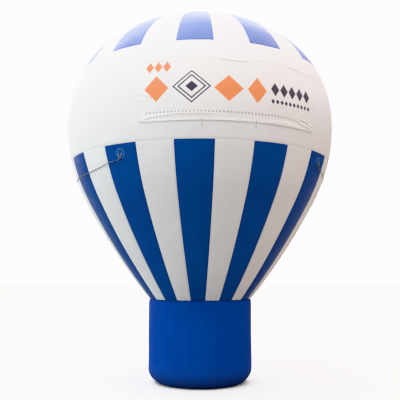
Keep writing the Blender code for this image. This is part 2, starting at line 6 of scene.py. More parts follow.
import bpy
import numpy as np
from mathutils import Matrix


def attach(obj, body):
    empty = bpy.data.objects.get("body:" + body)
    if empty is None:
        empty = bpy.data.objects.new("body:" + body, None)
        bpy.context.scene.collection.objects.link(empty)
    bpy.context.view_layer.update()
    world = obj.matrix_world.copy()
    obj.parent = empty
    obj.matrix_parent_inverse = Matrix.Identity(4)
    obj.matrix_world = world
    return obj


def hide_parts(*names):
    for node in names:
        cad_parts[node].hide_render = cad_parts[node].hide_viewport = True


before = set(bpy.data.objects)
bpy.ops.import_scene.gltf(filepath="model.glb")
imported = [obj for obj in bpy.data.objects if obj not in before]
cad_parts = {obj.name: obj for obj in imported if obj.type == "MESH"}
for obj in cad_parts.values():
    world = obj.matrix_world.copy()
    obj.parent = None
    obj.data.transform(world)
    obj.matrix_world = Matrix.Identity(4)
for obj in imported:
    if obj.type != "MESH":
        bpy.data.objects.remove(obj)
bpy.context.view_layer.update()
print("frame loaded,", len(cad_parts), "nodes")

fullTurn = 2 * math.pi


# Shapes: a dictionary of points, lists of faces and values for each point


def together(*parts):
    # Numbers of the same points side by side, in a last axis
    return np.stack(np.broadcast_arrays(*parts), -1)


def evenAngles(count):
    # Equal steps round one full turn, from 0
    return np.arange(count) * fullTurn / count


def atBearing(bearing, radius, height):
    # X is the radius times the sine of the bearing, Y minus the radius times its cosine
    return together(radius * np.sin(bearing), -radius * np.cos(bearing), height)


def ways(angles):
    # Each angle round the Z axis with the direction that it points in
    return [(angle, np.array([math.cos(angle), math.sin(angle), 0.0])) for angle in angles]


def unit(vectors):
    # Each vector divided by its own length
    return vectors / np.linalg.norm(vectors, axis=-1, keepdims=True)


def fade(value, low, high):
    # 0 below one limit, 1 above the other, smooth between them
    share = np.clip((value - low) / (high - low), 0, 1)
    return share * share * (3 - 2 * share)


def bell(distance, width):
    # 1 in the middle, falling off as exp(-(d / w)^2)
    return np.exp(-((distance / width) ** 2))


def waves(points, length, seed, count=9):
    # Slow random waves, about -1 to 1: the mean of a few sines in random directions, all near one length
    rng = np.random.default_rng(seed)
    directions = unit(rng.normal(size=(count, 3))) * fullTurn
    directions /= length * rng.uniform(0.7, 1.4, (count, 1))
    return np.sin(points @ directions.T + rng.uniform(0, fullTurn, count)).sum(-1) / count**0.5 / 1.4


def spread(count, crowding=0.4):
    # Places from -1 to 1 that lie closer together towards both ends
    even = np.linspace(-1, 1, count)
    return (1 - crowding) * even + crowding * np.sin(even * math.pi / 2)


def runOf(path):
    # How far along a path each of its points lies
    return np.concatenate([[0], np.cumsum(np.linalg.norm(np.diff(path, axis=0), axis=1))])


def readRows(places, marks, rows):
    # Rows of numbers that belong to some marks, read between them
    return together(*(np.interp(places, marks, column) for column in np.transpose(rows)))


def smoothPath(points, step):
    # A smooth curve through the points, in even steps: each stretch is a cubic whose slope at a point is half
    # the way from the point before it to the point after it
    p = np.asarray(points, float)
    p = np.concatenate([[2 * p[0] - p[1]], p, [2 * p[-1] - p[-2]]])
    t = np.linspace(0, 1, 40, endpoint=False)[None, :, None]
    a, b, c, d = (p[i : len(p) - 3 + i, None] for i in range(4))
    curve = b + ((c - a) * t + (2 * a - 5 * b + 4 * c - d) * t**2 + (3 * b - a - 3 * c + d) * t**3) / 2
    curve = np.concatenate([curve.reshape(-1, 3), p[-2:-1]])
    run = runOf(curve)
    return readRows(np.linspace(0, run[-1], max(3, round(run[-1] / step) + 1)), run, curve)


def arc(centre, radius, start, end, steps):
    # Points of a round stretch in a plane, from one angle to another in degrees
    angle = np.radians(np.linspace(start, end, steps))
    return together(centre[0] + radius * np.cos(angle), centre[1] + radius * np.sin(angle))


def gridFaces(rows, columns, wrapRows=False, wrapColumns=False):
    # Four corners for each cell of a grid whose points are numbered row by row
    row = np.arange(rows if wrapRows else rows - 1)[:, None]
    column = np.arange(columns if wrapColumns else columns - 1)
    below, beside = (row + 1) % rows, (column + 1) % columns
    corners = (row * columns + column, row * columns + beside, below * columns + beside, below * columns + column)
    return together(*corners).reshape(-1, 4)


def gridShape(grid, wrapRows=False, wrapColumns=False, **values):
    # A surface on a grid of points, rows by columns
    rows, columns = grid.shape[:2]
    shape = {"points": grid.reshape(-1, 3), "faces": [gridFaces(rows, columns, wrapRows, wrapColumns)]}
    return shape | {name: value.reshape(rows * columns, -1) for name, value in values.items()}


def fannedShape(grid, ends, **values):
    # A grid whose columns go round, closed by a fan at each end to a point of its own
    shape = gridShape(grid, wrapColumns=True, **values)
    count, columns = len(shape["points"]), grid.shape[1]
    first = np.arange(columns)
    last = first + count - columns
    shape["faces"] += [together(count, np.roll(first, -1), first), together(count + 1, last, np.roll(last, -1))]
    shape["points"] = np.concatenate([shape["points"], ends])
    return shape


def shellShape(outer, inner, wrapColumns=False, **values):
    # A closed shell between an outer and an inner grid: both surfaces and the strips round their edges
    rows, columns = outer.shape[:2]
    count = rows * columns
    face = gridFaces(rows, columns, wrapColumns=wrapColumns)
    number = np.arange(count).reshape(rows, columns)
    borders = [number[0, ::-1], number[-1]]
    if wrapColumns:
        borders = [np.append(border, border[0]) for border in borders]
    else:
        borders += [number[:, 0], number[::-1, -1]]
    strips = [together(b[:-1], b[1:], b[1:] + count, b[:-1] + count) for b in borders]
    points = np.concatenate([outer.reshape(-1, 3), inner.reshape(-1, 3)])
    shape = {"points": points, "faces": [face, face[:, ::-1] + count, *strips]}
    return shape | {name: np.tile(value.reshape(count, -1), (2, 1)) for name, value in values.items()}


def turnedShape(profile, columns, fins=0.0, comb=0.0):
    # A profile of (radius, height) turned round Z. Where it begins and ends on the axis the ends are fans.
    # Fins add to the radius: their height at each point of the profile times a comb of 0 to 1 round the turn
    radius, height = np.asarray(profile, float).T
    grid = atBearing(evenAngles(columns), radius[:, None] + np.outer(fins, comb), height[:, None])
    if max(radius[0], radius[-1]) > 1e-6:
        return gridShape(grid, wrapRows=True, wrapColumns=True)
    return fannedShape(grid[1:-1], [[0, 0, height[0]], [0, 0, height[-1]]])


def tubeShape(path, side, radius, sides, closed=False, strands=0, dip=0.0, lay=1.0):
    # A round profile carried along a path. At each point it stands square to the path, with "side" as its
    # first direction. The radius of a rope dips between its strands, which turn once in each length "lay"
    path, side = np.asarray(path, float), np.asarray(side, float)
    along = unit(np.roll(path, -1, 0) - np.roll(path, 1, 0) if closed else np.gradient(path, axis=0))
    first = unit(side - (side * along).sum(-1, keepdims=True) * along)
    second = np.cross(along, first)
    angle, run = evenAngles(sides), runOf(path)[:, None]
    size = np.reshape(radius, (-1, 1))
    if strands:
        size = size * (1 - dip * (1 - np.abs(np.sin(strands / 2 * (angle + fullTurn * run / lay)))))
    grid = path[:, None] + first[:, None] * (size * np.cos(angle))[..., None]
    grid = grid + second[:, None] * (size * np.sin(angle))[..., None]
    cloth = together(angle / fullTurn, run / lay)
    if closed:
        return gridShape(grid, wrapRows=True, wrapColumns=True, uv=cloth)
    shape = fannedShape(grid, path[[0, -1]], uv=cloth)
    shape["uv"] = np.concatenate([shape["uv"], [[0.5, 0.0], [0.5, run[-1, 0] / lay]]])
    return shape


def ribbonShape(line, sideways, out, across, thick, along):
    # A strip carried along a line: its places across lie "sideways" of it, with half its thickness each way "out"
    middle = line[:, None] + np.multiply.outer(across, np.asarray(sideways, float))
    rise = np.broadcast_to(out, line.shape)[:, None] * np.reshape(thick, (-1, 1))
    return shellShape(middle + rise, middle - rise, uv=together(across, along[:, None]))


def barShape(size, cut):
    # A box about the origin with cut edges: a rectangle with cut corners, smaller at the top and the bottom
    x, y, z = np.asarray(size, float) / 2
    loops = []
    for height, inset in ((-z, cut), (cut - z, 0), (z - cut, 0), (z, cut)):
        a, b = x - inset, y - inset
        half = [(a, b - cut), (a - cut, b), (cut - a, b), (-a, b - cut)]
        loops.append([(*corner, height) for corner in half + [(-p, -q) for p, q in half]])
    shape = gridShape(np.array(loops), wrapColumns=True)
    shape["faces"] += [np.arange(8)[None, ::-1], (24 + np.arange(8))[None]]
    return shape


def turnedBy(angle):
    # The matrix of a turn about Z
    c, s = math.cos(angle), math.sin(angle)
    return [[c, -s, 0], [s, c, 0], [0, 0, 1]]


def placedShape(shape, place, matrix=np.eye(3)):
    # The same shape, turned by a 3 by 3 matrix whose columns are its new X, Y and Z, then moved
    return shape | {"points": shape["points"] @ np.asarray(matrix, float).T + place}


def barAt(size, cut, place, angle=0.0):
    # A box with cut edges, turned about Z and then moved
    return placedShape(barShape(size, cut), place, turnedBy(angle))


def outwardFaces(shape):
    # A closed surface turned outwards holds a positive volume, a sixth of the sum of a . (b x c)
    points, volume = shape["points"], 0.0
    for block in shape["faces"]:
        for i in range(1, block.shape[1] - 1):
            a, b, c = points[block[:, 0]], points[block[:, i]], points[block[:, i + 1]]
            volume += np.einsum("ij,ij->", a, np.cross(b, c))
    return shape["faces"] if volume > 0 else [block[:, ::-1] for block in shape["faces"]]


def joinedShape(shapes):
    # Several shapes as one, with their face numbers moved on
    count, faces = 0, []
    for shape in shapes:
        faces += [block + count for block in outwardFaces(shape)]
        count += len(shape["points"])
    names = set.intersection(*map(set, shapes)) - {"faces"}
    return {"faces": faces} | {name: np.concatenate([shape[name] for shape in shapes]) for name in names}


def meshObject(name, shape, sharp=38):
    # A shape as a mesh object. Its edges are sharp where they turn by more degrees than "sharp"
    blocks = outwardFaces(shape)
    corners = np.concatenate([block.ravel() for block in blocks]).astype(np.int32)
    sizes = np.concatenate([np.full(len(block), block.shape[1]) for block in blocks]).astype(np.int32)
    mesh = bpy.data.meshes.new(name)
    mesh.vertices.add(len(shape["points"]))
    mesh.loops.add(len(corners))
    mesh.polygons.add(len(sizes))
    mesh.vertices.foreach_set("co", shape["points"].astype(np.float32).ravel())
    mesh.loops.foreach_set("vertex_index", corners)
    mesh.polygons.foreach_set("loop_start", (np.cumsum(sizes) - sizes).astype(np.int32))
    mesh.polygons.foreach_set("loop_total", sizes)
    mesh.update(calc_edges=True)
    if "uv" in shape:
        layer = mesh.uv_layers.new(name="cloth")
        layer.data.foreach_set("uv", shape["uv"][corners].astype(np.float32).ravel())
    for title in set(shape) - {"points", "faces", "uv"}:
        attribute = mesh.attributes.new(title, "FLOAT", "POINT")
        attribute.data.foreach_set("value", shape[title].astype(np.float32).ravel())
    mesh.validate()
    mesh.shade_smooth()
    mesh.set_sharp_from_angle(angle=math.radians(sharp))
    return linked(bpy.data.objects.new(name, mesh))


def linked(thing):
    # Puts an object into the scene
    bpy.context.scene.collection.objects.link(thing)
    return thing


def addPiece(name, shape, material, slot, *replaces, sharp=38):
    # A piece of the part, which rides on the body that stands still
    piece = meshObject(name, shape, sharp)
    piece.data.materials.append(materials[material])
    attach(piece, "inflatable")
    if replaces:
        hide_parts(*replaces)
    return piece


# Shader nodes


def put(tree, kind, inputs=(), **settings):
    # Adds a node. An input is a value or a signal to link; settings are the node's own
    node = tree.nodes.new("ShaderNode" + kind)
    for name, value in settings.items():
        setattr(node, name, value)
    for name, value in dict(inputs).items():
        if isinstance(value, Signal):
            tree.links.new(value.socket, node.inputs[name])
        else:
            node.inputs[name].default_value = value
    return node


class Signal:
    # A value in a shader tree. Arithmetic on it adds maths nodes and gives the signal that comes out of them

    def __init__(self, socket):
        self.socket, self.tree = socket, socket.id_data

    def through(self, kind, output, inputs, **settings):
        # The signal that comes out of a new node
        return Signal(put(self.tree, kind, inputs, **settings).outputs[output])

    def maths(self, operation, other=0.0, swap=False):
        # With swap the signal comes second, as in 1 less the signal
        values = (other, self) if swap else (self, other)
        return self.through("Math", 0, dict(enumerate(values)), operation=operation)

    __add__ = partialmethod(maths, "ADD")
    __sub__ = partialmethod(maths, "SUBTRACT")
    __rsub__ = partialmethod(maths, "SUBTRACT", swap=True)
    __mul__ = partialmethod(maths, "MULTIPLY")
    __truediv__ = partialmethod(maths, "DIVIDE")
    __rtruediv__ = partialmethod(maths, "DIVIDE", swap=True)
    __lt__ = partialmethod(maths, "LESS_THAN")
    __gt__ = partialmethod(maths, "GREATER_THAN")
    __abs__ = partialmethod(maths, "ABSOLUTE")

    def dot(self, other):
        # Sum of the products of two vectors' parts
        return self.through("VectorMath", "Value", {0: self, 1: other}, operation="DOT_PRODUCT")

    def parts(self):
        # X, Y and Z of a vector
        return [Signal(socket) for socket in put(self.tree, "SeparateXYZ", {0: self}).outputs]

    def ramp(self, low, high, start=0.0, end=1.0):
        # Read between two limits and brought smoothly to two others
        limits = {"Value": self, "From Min": low, "From Max": high, "To Min": start, "To Max": end}
        return self.through("MapRange", "Result", limits, interpolation_type="SMOOTHSTEP")

    def mix(self, a, b):
        # Colour a where the signal is 0, colour b where it is 1
        return self.through("Mix", 2, {0: self, 6: a, 7: b}, data_type="RGBA")

    def noise(self, scale, detail, **more):
        # Noise read at the place that the signal gives
        return self.through("TexNoise", "Fac", {"Vector": self, "Scale": scale, "Detail": detail} | more)

    def bump(self, strength, distance, under=None):
        # The normal of a surface raised by the signal, over an earlier one
        inputs = {"Height": self, "Strength": strength, "Distance": distance}
        return self.through("Bump", "Normal", inputs | ({"Normal": under} if under else {}))


def clothGrain(cloth, place, thread, coating):
    # Two crossing sets of fine threads on the piece's own UV, under a film of coating
    across, along, _ = cloth.parts()
    turn = fullTurn / thread
    weave = (across * turn).maths("SINE") * (along * turn).maths("SINE") * (1.0 - coating)
    return {
        "Height": place.noise(90.0, 3.0) * coating + weave * 0.5,
        "Tone": place.noise(1.7, 4.0, Roughness=0.6).ramp(0.3, 0.7),
        "Gloss": place.noise(9.0, 3.0, Distortion=0.6).ramp(0.35, 0.7),
    }


def sewnSeam(distance, along, setback, stitch, thread):
    # A row of stitches at a set distance from the edge, and the doubled cloth between it and the edge
    line = abs(distance - setback) < thread
    dash = (along / stitch).maths("FRACT") < 0.72
    wobble = along.through("TexNoise", "Fac", {"W": along, "Scale": 26.0, "Detail": 2.0}, noise_dimensions="1D")
    return {
        "Stitches": line * dash,
        "Doubled": distance.ramp(0.016, 0.022, 1.0, 0.0),
        "Pull": wobble * distance.ramp(0.0, 0.075, 1.0, 0.0),
    }


def floorDust(place, reach, amount):
    # Dust and splashes that fade with height above the floor, broken up by noise
    fading = 1.0 - (place.parts()[2] / reach).maths("MINIMUM", 1.0)
    spots = place.noise(14.0, 6.0, Roughness=0.7).ramp(0.40, 0.68)
    return {"Dust": fading.maths("POWER", 1.6) * (spots * 0.7 + 0.3) * amount}


def mouldedSurface(place, grain, scuffs):
    # Moulded or painted surface: fine spark-eroded grain, slow tone changes and thin scuffs
    return {
        "Height": place.noise(grain, 2.0),
        "Tone": place.noise(12.0, 3.0).ramp(0.3, 0.7),
        "Scuff": place.noise(45.0, 6.0, Distortion=2.5).ramp(0.62, 0.70) * scuffs,
    }


def webbingWeave(cloth, rib, wale):
    # Ribs across the strip, shifted by half a rib on every second wale
    across, along, _ = cloth.parts()
    across = across / wale
    shift = (across + 100.0).maths("FLOOR").maths("MODULO", 2.0) * 0.5
    ribs = abs(((along / rib + shift) * math.pi).maths("SINE"))
    height = ribs * (abs((across * math.pi).maths("SINE")) * 0.5 + 0.5)
    # The tone follows the ribs' height: painted shade between the ribs, with a little noise
    return {"Height": height, "Tone": height * 0.7 + cloth.noise(160.0, 3.0) * 0.3}


def laidStrands(cloth, strands, fibres):
    # Fibres that run along each strand, and a mask of the groove where two strands meet, which carries painted shade.
    # U goes round, V counts lays
    around, lays, _ = cloth.parts()
    strand = abs(((around + lays) * strands * math.pi).maths("SINE"))
    fibre = ((around * fibres - lays * 7.0) * fullTurn).maths("SINE")
    return {
        "Height": fibre * 0.25 + strand,
        "GrooveShade": strand.ramp(0.0, 0.45, 1.0, 0.0),
        "Tone": cloth.noise(6.0, 4.0).ramp(0.3, 0.7),
    }


def edgeWear(place, radius, amount):
    # Where the normal rounded over a small radius leaves the true one, broken up by noise
    rounded = place.through("Bevel", 0, {"Radius": radius}, samples=4)
    match = rounded.dot(place.through("NewGeometry", "Normal", {}))
    return {"Wear": match.ramp(0.78, 0.97, 1.0, 0.0) * place.noise(70.0, 5.0).ramp(0.42, 0.62) * amount}


def diamondRow(cloth, start, pitch, count, height, halfWidth, halfHeight, hollow):
    # A row of diamonds on the cloth: inside where |x| / half width + |y| / half height is under 1, and outside a
    # smaller diamond where the row is hollow
    across, up, _ = cloth.parts()
    place = (across - start) / pitch
    reach = abs((place.maths("FRACT") - 0.5) * pitch) / halfWidth + abs(up - height) / halfHeight
    return {"Mask": (reach < 1.0) * (reach > hollow) * ((place > 0.0) * (place < count))}


def newGroup(name, work, **inputs):
    # A node group whose function turns its inputs into its outputs. An input with no value is a vector
    tree = bpy.data.node_groups.new(name, "ShaderNodeTree")
    for title, value in inputs.items():
        kind = "NodeSocketVector" if value is None else "NodeSocketFloat"
        socket = tree.interface.new_socket(title, in_out="INPUT", socket_type=kind)
        if value is not None:
            socket.default_value = value
    given = tree.nodes.new("NodeGroupInput").outputs
    made = work(*(Signal(given[title]) for title in inputs))
    for title in made:
        tree.interface.new_socket(title, in_out="OUTPUT", socket_type="NodeSocketFloat")
    out = tree.nodes.new("NodeGroupOutput")
    for title, value in made.items():
        tree.links.new(value.socket, out.inputs[title])
    return tree


rowSizes = dict(Start=0.0, Pitch=0.1, Count=1.0, Height=0.0, HalfWidth=0.04, HalfHeight=0.04, Hollow=0.0)
groups = {
    "grain": newGroup("cloth grain", clothGrain, Cloth=None, Place=None, Thread=0.003, Coating=0.7),
    "seam": newGroup("sewn seam", sewnSeam, Distance=1.0, Along=0.0, Setback=0.012, Stitch=0.009, Thread=0.0016),
    "dust": newGroup("floor dust", floorDust, Place=None, Reach=0.45, Amount=0.4),
    "moulded": newGroup("moulded surface", mouldedSurface, Place=None, Grain=900.0, Scuffs=0.3),
    "webbing": newGroup("webbing weave", webbingWeave, Cloth=None, Rib=0.0022, Wale=0.0030),
    "rope": newGroup("laid rope", laidStrands, Cloth=None, Strands=3.0, Fibres=11.0),
    "edge": newGroup("edge wear", edgeWear, Place=None, Radius=0.0015, Amount=0.5),
    "diamonds": newGroup("diamond row", diamondRow, Cloth=None, **rowSizes),
}


def useGroup(tree, name, **inputs):
    # Places a node group with its own values, and gives its outputs by name
    return {socket.name: Signal(socket) for socket in put(tree, "Group", inputs, node_tree=groups[name]).outputs}


def newMaterial(name, **sockets):
    # A material with one Principled shader, whose fixed values are set on its own sockets
    material = bpy.data.materials.new(name)
    material.use_nodes = True
    shader = material.node_tree.nodes["Principled BSDF"]
    for title, value in sockets.items():
        shader.inputs[title.replace("_", " ")].default_value = value
    return material, material.node_tree, shader


def feed(shader, base, roughness, normal):
    # Links what changes over the surface to the shader
    for title, value in (("Base Color", base), ("Roughness", roughness), ("Normal", normal)):
        shader.id_data.links.new(value.socket, shader.inputs[title])


def read(tree, kind, output, **settings):
    # One output of a node that takes no inputs
    return Signal(put(tree, kind, **settings).outputs[output])


def colour(numbers):
    # Three numbers from 0 to 255 are a colour read off a screen, made linear; four are linear already
    if len(numbers) == 4:
        return numbers
    share = np.array(numbers) / 255
    linear = np.where(share <= 0.04045, share / 12.92, ((share + 0.055) / 1.055) ** 2.4)
    return (*linear.tolist(), 1.0)


dustTone = colour((150, 146, 138))
# Dark grey of the painted shade in a rope's grooves
grooveShadeTone = colour((52, 53, 54))


def coatedCloth(name, main, shade, thread, roughness, dust, doubled=None, printed=(), gloss=0.32, coat=0.0):
    # Coated cloth: the main colour with slow patches of a second one, sewn seams, a print, dust low down
    material, tree, shader = newMaterial(name, Specular_IOR_Level=gloss, Coat_Weight=coat, Coat_Roughness=0.3)
    place, cloth = read(tree, "TexCoord", "Object"), read(tree, "UVMap", "UV", uv_map="cloth")
    seam, along = (read(tree, "Attribute", "Fac", attribute_name=title) for title in ("seam", "along"))
    grain = useGroup(tree, "grain", Cloth=cloth, Place=place)
    sewn = useGroup(tree, "seam", Distance=seam, Along=along)
    low = useGroup(tree, "dust", Place=place, Reach=0.35, Amount=dust)["Dust"]
    base = grain["Tone"].mix(colour(main), colour(shade))
    for ink, *sizes in printed:
        row = useGroup(tree, "diamonds", Cloth=cloth, **dict(zip(rowSizes, sizes)))
        base = row["Mask"].mix(base, inks[ink])
    base = (sewn["Doubled"] * 0.35).mix(base, colour(doubled or shade))
    base = low.mix((sewn["Stitches"] * 0.8).mix(base, colour(thread)), dustTone)
    rough = low * 0.3 + (grain["Gloss"] * 0.10 + (roughness - 0.05))
    relief = sewn["Stitches"] * 0.5 + sewn["Pull"]
    feed(shader, base, rough, relief.bump(0.35, 0.0025, grain["Height"].bump(0.12, 0.0006)))
    return material


def wovenStrip(name, main, shade, roughness=0.75):
    # Webbing: lighter on the ribs and darker between them, as painted shade between the ribs
    material, tree, shader = newMaterial(name, Specular_IOR_Level=0.3, Sheen_Weight=0.15, Sheen_Roughness=0.5)
    weave = useGroup(tree, "webbing", Cloth=read(tree, "UVMap", "UV", uv_map="cloth"))
    base = weave["Tone"].mix(colour(shade), colour(main))
    feed(shader, base, weave["Height"] * -0.12 + (roughness + 0.06), weave["Height"].bump(0.6, 0.0004))
    return material


def laidRope(name, main, shade):
    # Rope: slow patches of two greys, and painted shade that darkens the grooves between the strands
    material, tree, shader = newMaterial(name, Specular_IOR_Level=0.3, Sheen_Weight=0.2, Sheen_Roughness=0.5)
    rope = useGroup(tree, "rope", Cloth=read(tree, "UVMap", "UV", uv_map="cloth"))
    # The grooves are mixed towards dark grey: painted shade between the strands
    base = (rope["GrooveShade"] * 0.75).mix((rope["Tone"] * 0.6).mix(colour(main), colour(shade)), grooveShadeTone)
    feed(shader, base, rope["Tone"] * 0.12 + 0.72, rope["Height"].bump(0.6, 0.0005))
    return material


def mouldedPiece(name, main, worn, roughness, grain=900.0, bump=0.10, dust=0.4, metal=0.0, wear=0.5):
    # Moulded plastic, rubber, paint or metal: grain, slow tone changes, scuffs, worn edges and dust low down
    material, tree, shader = newMaterial(name, Metallic=metal)
    place = read(tree, "TexCoord", "Object")
    grain = useGroup(tree, "moulded", Place=place, Grain=grain)
    edge = useGroup(tree, "edge", Place=place, Amount=wear)["Wear"]
    low = useGroup(tree, "dust", Place=place, Amount=dust)["Dust"]
    main = colour(main)
    base = grain["Tone"].mix(main, (*(0.86 * part for part in main[:3]), 1.0))
    base = edge.maths("MAXIMUM", grain["Scuff"] * 0.5).mix(base, colour(worn))
    rough = grain["Tone"] * 0.06 + (grain["Scuff"] * 0.25 + (roughness - 0.03))
    feed(shader, (low * 0.8).mix(base, dustTone), low * 0.35 + rough, grain["Height"].bump(bump, 0.0006))
    return material


inks = {"orange": (1.0, 0.342, 0.147, 1.0), "slate": (0.085, 0.070, 0.105, 1.0), "grey": (0.50, 0.48, 0.48, 1.0)}
bannerPrint = (  # ink, start, pitch, how many, height above the lower edge, half width, half height, hollow
    ("orange", -1.030, 0.100, 3, 0.625, 0.046, 0.066, 0.0),
    ("orange", -1.032, 0.276, 1, 0.365, 0.138, 0.150, 0.0),
    ("slate", -0.716, 0.436, 1, 0.380, 0.214, 0.190, 0.90),
    ("slate", -0.716, 0.436, 1, 0.380, 0.160, 0.142, 0.86),
    ("slate", -0.716, 0.436, 1, 0.380, 0.070, 0.062, 0.0),
    ("orange", -0.256, 0.340, 1, 0.365, 0.166, 0.150, 0.0),
    ("orange", 0.128, 0.236, 1, 0.365, 0.116, 0.150, 0.0),
    ("slate", 0.412, 0.125, 5, 0.405, 0.056, 0.080, 0.0),
    ("slate", 0.412, 0.0625, 10, 0.262, 0.024, 0.030, 0.0),
    ("grey", -1.030, 0.0412, 50, 0.096, 0.0125, 0.017, 0.0),
)
cloths = {  # name, main colour, its patches, stitches, roughness, dust
    "white": ("white coated cloth", (238, 236, 238), (234, 231, 232), (206, 204, 205), 0.42, 0.3),
    "blue": ("blue coated cloth", (0, 72, 150), (0, 66, 142), (24, 62, 122), 0.36, 0.35),
    # The crown's blue and the lower gores' blue are one cloth; the crown's copy is painted lighter, as painted light
    # on the brighter top
    "crown": ("crown blue cloth", (0, 77, 164), (0, 71, 155), (40, 78, 140), 0.36, 0.0),
    "base": ("base blue cloth", (0, 67, 158), (0, 62, 150), (24, 62, 122), 0.5, 0.3),
    "banner": ("printed banner cloth", (241, 238, 238), (237, 233, 233), (216, 213, 213), 0.38, 0.0),
    "patch": ("welded patch cloth", (0, 78, 160), (4, 82, 160), (90, 132, 186), 0.40, 0.0, (112, 152, 200)),
}
clothExtras = {
    "blue": {"gloss": 0.2}, "crown": {"gloss": 0.5, "coat": 0.4}, "base": {"gloss": 0.1},
    "banner": {"printed": bannerPrint},
}
strips = {
    "webbing": ("blue webbing", (22, 74, 146), (6, 34, 84)),
    "whiteWebbing": ("white webbing", (226, 226, 222), (182, 182, 178)),
    "strap": ("black webbing", (42, 43, 46), (14, 14, 16)),
}
moulded = {  # name, main colour, worn colour, roughness, grain, bump, dust, metal, wear
    "elastic": ("white elastic", (222, 221, 216), (200, 198, 190), 0.6, 700.0, 0.2, 0.0, 0.0, 0.0),
    "thread": ("polyester thread", (150, 178, 214), (190, 205, 225), 0.55, 500.0, 0.2, 0.0, 0.0, 0.0),
    "steel": ("zinc plated steel", (0.62, 0.63, 0.64, 1), (0.80, 0.80, 0.80, 1), 0.30, 500.0, 0.05, 0.0, 1.0),
    "eyelet": ("pressed eyelet", (0.66, 0.66, 0.66, 1), (0.85, 0.85, 0.85, 1), 0.28, 400.0, 0.04, 0.0, 1.0),
    "whitePlastic": ("white moulded plastic", (226, 226, 222), (240, 240, 238), 0.4, 900.0, 0.10, 0.0),
    "blackPlastic": ("black moulded plastic", (38, 38, 41), (82, 82, 86), 0.46, 1100.0, 0.16),
    "casing": ("blue moulded casing", (30, 74, 128), (104, 136, 176), 0.42, 950.0, 0.14),
    "rubber": ("black rubber", (30, 30, 30), (60, 60, 60), 0.72, 600.0, 0.25, 0.4, 0.0, 0.2),
    "motor": ("grey motor paint", (122, 126, 130), (178, 180, 182), 0.38, 700.0, 0.12),
    "rocker": ("red rocker plastic", (176, 28, 22), (206, 90, 80), 0.34, 1200.0, 0.05, 0.0),
    "impeller": ("galvanised impeller", (186, 189, 193), (208, 210, 212), 0.40, 900.0, 0.10),
}
materials = {"rope": laidRope("guy line rope", (140, 141, 142), (104, 105, 107))}
for key, facts in cloths.items():
    materials[key] = coatedCloth(*facts, **clothExtras.get(key, {}))
materials.update({key: wovenStrip(*facts) for key, facts in strips.items()})
materials.update({key: mouldedPiece(*facts) for key, facts in moulded.items()})
print("materials made")


# Light, floor and camera

studio = {
    "camera": (-1.807, -7.865, 1.479),
    "pitch": 6.9,
    "lens": 52.3,
    "sensor": 36.0,
    "background": 3.0,
    "sky": (0.25, 2.2),  # away from its brightest side, and there
    "skyFrom": (-0.25, 0.25, 0.93),
    "skyLeft": (1.0, 1.0, 1.0, 1.0),
    "skyRight": (0.90, 0.83, 0.81, 1.0),
    "floorRadius": 60.0,
    "floorCorners": 64,
    "floorDepth": 0.0005,
    "floorTones": ((0.9, 0.9, 0.891, 1.0), (0.918, 0.918, 0.9, 1.0)),
    "bounceLeft": (0.235, 0.262, 0.262, 1.0),  # what the floor gives back to the piece
    "bounceRight": (0.255, 0.215, 0.185, 1.0),
    "bounceReach": 2.5,
    "lampDistance": 12,
    "lamps": {  # where it stands, strength, width in degrees, colour
        "left": ((-0.9, -0.3, 0.2), 0.46, 50, (0.80, 1.0, 1.0)),
        "top": ((-0.25, -0.25, 0.93), 1.35, 60, (1.0, 1.0, 1.0)),
        "back": ((0.0, 0.85, 0.75), 1.8, 60, (1.0, 1.0, 1.0)),
        "side": ((0.80, -0.34, 0.85), 1.06, 70, (1.0, 0.94, 0.92)),
    },
}


def makeCamera():
    # Stands off the front, turned towards the object's axis and tipped up by the pitch
    x, y, _ = studio["camera"]
    camera = linked(bpy.data.objects.new("camera", bpy.data.cameras.new("camera")))
    camera.data.lens, camera.data.sensor_width = studio["lens"], studio["sensor"]
    camera.location = studio["camera"]
    camera.rotation_euler = (math.radians(90 + studio["pitch"]), 0, math.atan2(x, -y))
    bpy.context.scene.camera = camera


def makeLight():
    # A sky that is brightest in one direction and plain to the camera, and four wide suns
    s = studio
    world = bpy.data.worlds.new("studio")
    world.use_nodes = True
    bpy.context.scene.world = world
    tree = world.node_tree
    tree.nodes.clear()
    towards, seen = read(tree, "TexCoord", "Generated"), read(tree, "LightPath", "Is Camera Ray")
    sky = towards.dot(unit(np.array(s["skyFrom"])).tolist()).ramp(-0.05, 0.9, *s["sky"])
    level = seen.through("Mix", 0, {0: seen, 2: sky, 3: s["background"]})
    tint = towards.parts()[0].ramp(-0.6, 0.8).mix(s["skyLeft"], s["skyRight"])
    light = put(tree, "Background", {"Color": seen.mix(tint, (1.0, 1.0, 1.0, 1.0)), "Strength": level})
    put(tree, "OutputWorld", {"Surface": Signal(light.outputs[0])})
    for name, (place, strength, width, tint) in s["lamps"].items():
        lamp = bpy.data.lights.new(name, "SUN")
        lamp.energy, lamp.angle, lamp.color = strength, math.radians(width), tint
        x, y, z = place = unit(np.array(place))
        sun = linked(bpy.data.objects.new(name, lamp))
        sun.location, sun.rotation_euler = place * s["lampDistance"], (math.acos(z), 0, math.atan2(x, -y))
    bpy.context.scene.view_settings.view_transform = "Khronos PBR Neutral"


